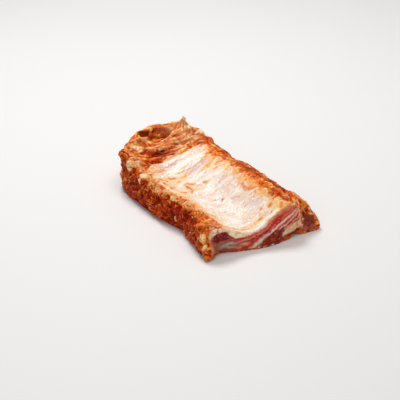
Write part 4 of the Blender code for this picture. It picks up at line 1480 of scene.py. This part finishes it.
@dataclass
class SinewStrands:
    """Thin strings of sinew and fat that lie on the marinated surface."""

    surface: Surface
    count: int = 270
    step: float = 1.15
    turns: tuple[int, int] = (4, 9)
    thin: float = 0.24
    thick: float = 0.58
    sides: int = 6
    wander: float = 0.8
    bend: float = 0.08
    hold: float = 0.9
    looks: tuple[Color, ...] = ((255, 190, 96), (248, 146, 48), (228, 106, 20), (204, 76, 8))
    grit: float = 0.4
    seed: int = 41
    finish: WetFinish = WetFinish("sinew", grain=1.4, mottling=0.3, painted_glint=0.3, rough=(0.2, 0.4), gloss=0.4,
                                  bump=0.15)

    def build(self, skin: bpy.types.Object, tree: BVHTree) -> bpy.types.Object:
        """Trace the strands over the skin and give them their thickness.

        Args:
            skin: the rack's skin.
            tree: the same skin, for finding the nearest place on it.

        Returns:
            The piece.
        """
        random = np.random.default_rng(self.seed)
        points, arrows = read_points(skin.data), read_arrows(skin.data)
        p, a = self.surface.place.to_rack(points), self.surface.place.arrows_to_rack(arrows)
        on_cut, pale = self.surface.shares(p, a)
        fit = np.flatnonzero((on_cut < 0.1) & (pale < 0.6) & (p[:, 2] > 4.0) & (p[:, 0] > 5.0))
        share = 0.25 + np.exp(-((p[fit, 0] - 14.0) / 26.0) ** 2) + np.exp(-((p[fit, 0] - 118.0) / 14.0) ** 2)
        share *= 1.0 + 1.2 * rise(p[fit, 1], 20, 12)
        starts = random.choice(fit, self.count, replace=False, p=share / share.sum())
        paths = [self._trace(Vector(points[i]), random, tree) for i in starts]
        piece = self._lines(paths, random)
        given = {"Sides": ("Int", self.sides), "Material": ("Material", self.finish.make())}
        run_nodes(piece, "strand_sweep", given, self._sweep)
        smooth_shade(piece.data)
        return piece

    def _trace(self, start: Vector, random: np.random.Generator, tree: BVHTree) -> list[Vector]:
        """Walk over the skin from one place.

        Args:
            start: first place, in metres.
            random: source of the strand's course.
            tree: the skin.

        Returns:
            Places along the strand, in metres.
        """
        spot, normal, _, _ = tree.find_nearest(start)
        heading = random.normal(0.0, self.wander)
        bend = random.normal(0.0, self.bend)
        path = [spot + normal * (0.05 * MM)]
        for _ in range(int(random.integers(*self.turns))):
            along = Vector((1.0, 0.15, 0.05)).cross(normal).cross(normal).normalized()
            side = along.cross(normal)
            ahead = along * math.cos(heading) + side * math.sin(heading)
            spot, normal, _, _ = tree.find_nearest(spot + ahead * (self.step * MM))
            path.append(spot + normal * (0.10 * MM))
            bend = self.hold * bend + random.normal(0.0, self.bend)
            heading += bend
        return path

    def _lines(self, paths: Sequence[Sequence[Vector]], random: np.random.Generator) -> bpy.types.Object:
        """Bare lines with a radius and a colour at each place.

        Args:
            paths: places along each strand.
            random: source of thickness and colour.

        Returns:
            The object that holds the lines.
        """
        points, edges, radii, tints = [], [], [], []
        for path in paths:
            first = len(points)
            size = random.uniform(self.thin, self.thick)
            look = linear(self.looks[int(random.integers(0, len(self.looks)))])
            for k, spot in enumerate(path):
                points.append(spot)
                radii.append(size * MM * (0.35 + 0.65 * math.sin(math.pi * (k + 0.5) / len(path))))
                tints.append(look * random.uniform(0.8, 1.1))
            edges += [(first + k, first + k + 1) for k in range(len(path) - 1)]
        name = "sinew_strands"
        mesh = make_mesh(name, points, edges, [])
        keep(mesh, "thickness", np.array(radii))
        paint(mesh, np.array(tints), np.full(len(points), self.grit))
        return place_object(name, mesh)

    def _sweep(self, wiring: Wiring, given: Sequence[Socket]) -> Socket:
        """Round profile swept along every line, as thick as the line says."""
        thickness = wiring.add("GeometryNodeInputNamedAttribute", {"Name": "thickness"}).outputs["Attribute"]
        curve = wiring.add("GeometryNodeMeshToCurve", {"Mesh": given["Geometry"]}).outputs["Curve"]
        lines = wiring.add("GeometryNodeSetCurveRadius", {"Curve": curve, "Radius": thickness})
        ring = wiring.add("GeometryNodeCurvePrimitiveCircle", {"Resolution": given["Sides"], "Radius": 1.0})
        return wiring.add("GeometryNodeCurveToMesh", {
            "Curve": lines.outputs["Curve"], "Profile Curve": ring.outputs["Curve"], "Scale": thickness,
            "Fill Caps": True}).outputs["Mesh"]


@dataclass
class SpiceGrains:
    """Crumbs of spice that stick to the marinated surface."""

    surface: Surface
    density: float = 52000.0
    small: float = 0.30
    large: float = 0.85
    pull: float = 3.0
    flattest: Spot = (0.7, 0.6, 0.5)
    longest: Spot = (1.6, 1.1, 0.9)
    full_turn: float = 6.283
    grit: float = 0.4
    looks: Ramp = Ramp(((-0.6, (112, 20, 0)), (-0.2, (182, 56, 4)), (0.12, (230, 112, 24)),
                        (0.45, (253, 190, 96))))
    seed: int = 7
    finish: WetFinish = WetFinish("spice_grains", grain=1.0, mottling=0.5, painted_glint=0.0, gloss=0.3, bump=0.1)

    def build(self, meat: bpy.types.Object) -> bpy.types.Object:
        """Scatter the grains over the meat with Geometry Nodes.

        Args:
            meat: the finished meat, whose grit says where grains stick.

        Returns:
            The piece.
        """
        piece = place_object("spice_grains", meat.data.copy())
        run_nodes(piece, "grain_scatter", {
            "Density": ("Float", self.density), "Small": ("Float", self.small * MM),
            "Large": ("Float", self.large * MM), "Seed": ("Int", self.seed),
            "Material": ("Material", self.finish.make())}, self._scatter)
        self._paint(piece)
        return piece

    def _scatter(self, wiring: Wiring, given: Sequence[Socket]) -> Socket:
        """Rough grains of mixed size, more of them where there is more grit."""
        grit = wiring.add("GeometryNodeInputNamedAttribute", {"Name": "grit"}).outputs["Attribute"]
        share = wiring.add("ShaderNodeMath", {0: grit, 1: self.pull}, operation="POWER").outputs[0]
        density = wiring.times(share, given["Density"])
        points = wiring.add("GeometryNodeDistributePointsOnFaces", {
            "Mesh": given["Geometry"], "Density": density, "Seed": given["Seed"]})
        grain = wiring.add("GeometryNodeMeshIcoSphere", {"Radius": 1.0, "Subdivisions": 1})
        pick = "FunctionNodeRandomValue"
        turn = wiring.add(pick, {1: (self.full_turn,) * 3}, data_type="FLOAT_VECTOR").outputs[0]
        size = wiring.add(pick, {2: given["Small"], 3: given["Large"], "Seed": given["Seed"]}).outputs[1]
        form = wiring.add(pick, {0: self.flattest, 1: self.longest}, data_type="FLOAT_VECTOR").outputs[0]
        scale = wiring.add("ShaderNodeVectorMath", {0: form, "Scale": size}, operation="SCALE").outputs[0]
        return wiring.add("GeometryNodeInstanceOnPoints", {
            "Points": points.outputs["Points"], "Instance": grain.outputs["Mesh"], "Rotation": turn,
            "Scale": scale}).outputs["Instances"]

    def _paint(self, piece: bpy.types.Object) -> None:
        """Colour the grains from dark spice to pale crumbs."""
        p = self.surface.place.to_rack(read_points(piece.data))
        pick = self.surface.marinade.noise.at(p / 3.1 + 5.0)
        paint(piece.data, self.looks(pick), np.full(len(p), self.grit))
        smooth_shade(piece.data)


@dataclass
class Studio:
    """Pale floor, soft lights and the camera.

    The camera stands at the eye and looks ahead. The lights look at the aim.
    """

    place: RackFrame
    floor_size: float = 14.0
    eye: Spot = (1.28057, -0.62248, 0.68732)
    ahead: Spot = (-0.81358, 0.38811, -0.43303)
    up: Spot = (-0.37450, 0.22003, 0.90075)
    lens: float = 133.85
    sensor: float = 36.0
    aim: Spot = (0.0, 0.0, 0.02)

    def build(self) -> None:
        """Set up the floor, the lights and the camera."""
        self._floor()
        self._camera()
        self._light("key", (-0.60, 0.05, 1.15), 0.45, 10.5)
        self._light("top", (0.35, 0.15, 1.5), 0.8, 7.0)
        self._light("fill", (1.2, -1.0, 0.8), 1.0, 3.5)
        world = bpy.data.worlds.new("studio")
        bpy.context.scene.world = world
        world.use_nodes = True
        sky = world.node_tree.nodes["Background"]
        sky.inputs["Color"].default_value = (1.0, 0.99, 0.98, 1.0)
        sky.inputs["Strength"].default_value = 0.3
        bpy.context.scene.view_settings.view_transform = "Standard"

    def _floor(self) -> None:
        """Lay the pale floor."""
        half = self.floor_size / 2
        corners = np.array([(-half, -half, 0.0), (half, -half, 0.0), (half, half, 0.0), (-half, half, 0.0)])
        floor = place_object("floor", make_mesh("floor", corners, [], [(0, 1, 2, 3)]))
        material = bpy.data.materials.new("pale_floor")
        material.use_nodes = True
        shader = material.node_tree.nodes["Principled BSDF"]
        shader.inputs["Base Color"].default_value = (0.80, 0.79, 0.78, 1.0)
        shader.inputs["Roughness"].default_value = 0.6
        floor.data.materials.append(material)

    def _camera(self) -> None:
        """Place the camera where the rack is seen from."""
        data = bpy.data.cameras.new("camera")
        data.lens = self.lens
        data.sensor_width = self.sensor
        data.sensor_fit = "HORIZONTAL"
        camera = place_object("camera", data)
        ahead, up = Vector(self.ahead).normalized(), Vector(self.up)
        right = ahead.cross(up).normalized()
        up = right.cross(ahead)
        turn = Matrix((right, up, -ahead)).transposed().to_4x4()
        camera.matrix_world = Matrix.Translation(Vector(self.eye)) @ turn
        bpy.context.scene.camera = camera

    def _light(self, name: str, spot: Spot, size: float, power: float) -> None:
        """Hang one soft light that looks at the rack.

        Args:
            name: the light's name.
            spot: where it hangs, in metres.
            size: side of its square, in metres.
            power: its strength in watts.
        """
        data = bpy.data.lights.new(name, "AREA")
        data.size = size
        data.energy = power
        light = place_object(name, data)
        light.location = spot
        light.rotation_mode = "QUATERNION"
        light.rotation_quaternion = (Vector(self.aim) - Vector(spot)).to_track_quat("-Z", "Y")


def log_piece(piece: bpy.types.Object) -> None:
    """Report a finished piece."""
    triangles = sum(len(face.vertices) - 2 for face in piece.data.polygons)
    LOG.info("%s: %d triangles", piece.name, triangles)


def main() -> None:
    """Build the rack piece by piece and light it."""
    logging.basicConfig(level=logging.INFO, format="%(name)s: %(message)s")
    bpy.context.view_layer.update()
    place = RackFrame()
    surface = Surface(place, BoneSideMap(), CutFaceMap(), MarinadeMap())
    skin = surface.skin()
    meat = MeatBody(surface).build(skin)
    bone = BoneSide(surface).build(skin)
    tree = BVHTree.FromObject(skin, bpy.context.evaluated_depsgraph_get())
    strands = SinewStrands(surface).build(skin, tree)
    grains = SpiceGrains(surface).build(meat)
    bpy.data.objects.remove(skin)
    for piece, node, slot in ((meat, "meat", "meat"), (bone, "rib_plate", "bone_side")):
        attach(piece, "root")
        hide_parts(node)
        log_piece(piece)
    for piece in (strands, grains):
        keep_above_floor(piece.data)
        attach(piece, "root")
        log_piece(piece)
    Studio(place).build()


if __name__ == "__main__":
    main()
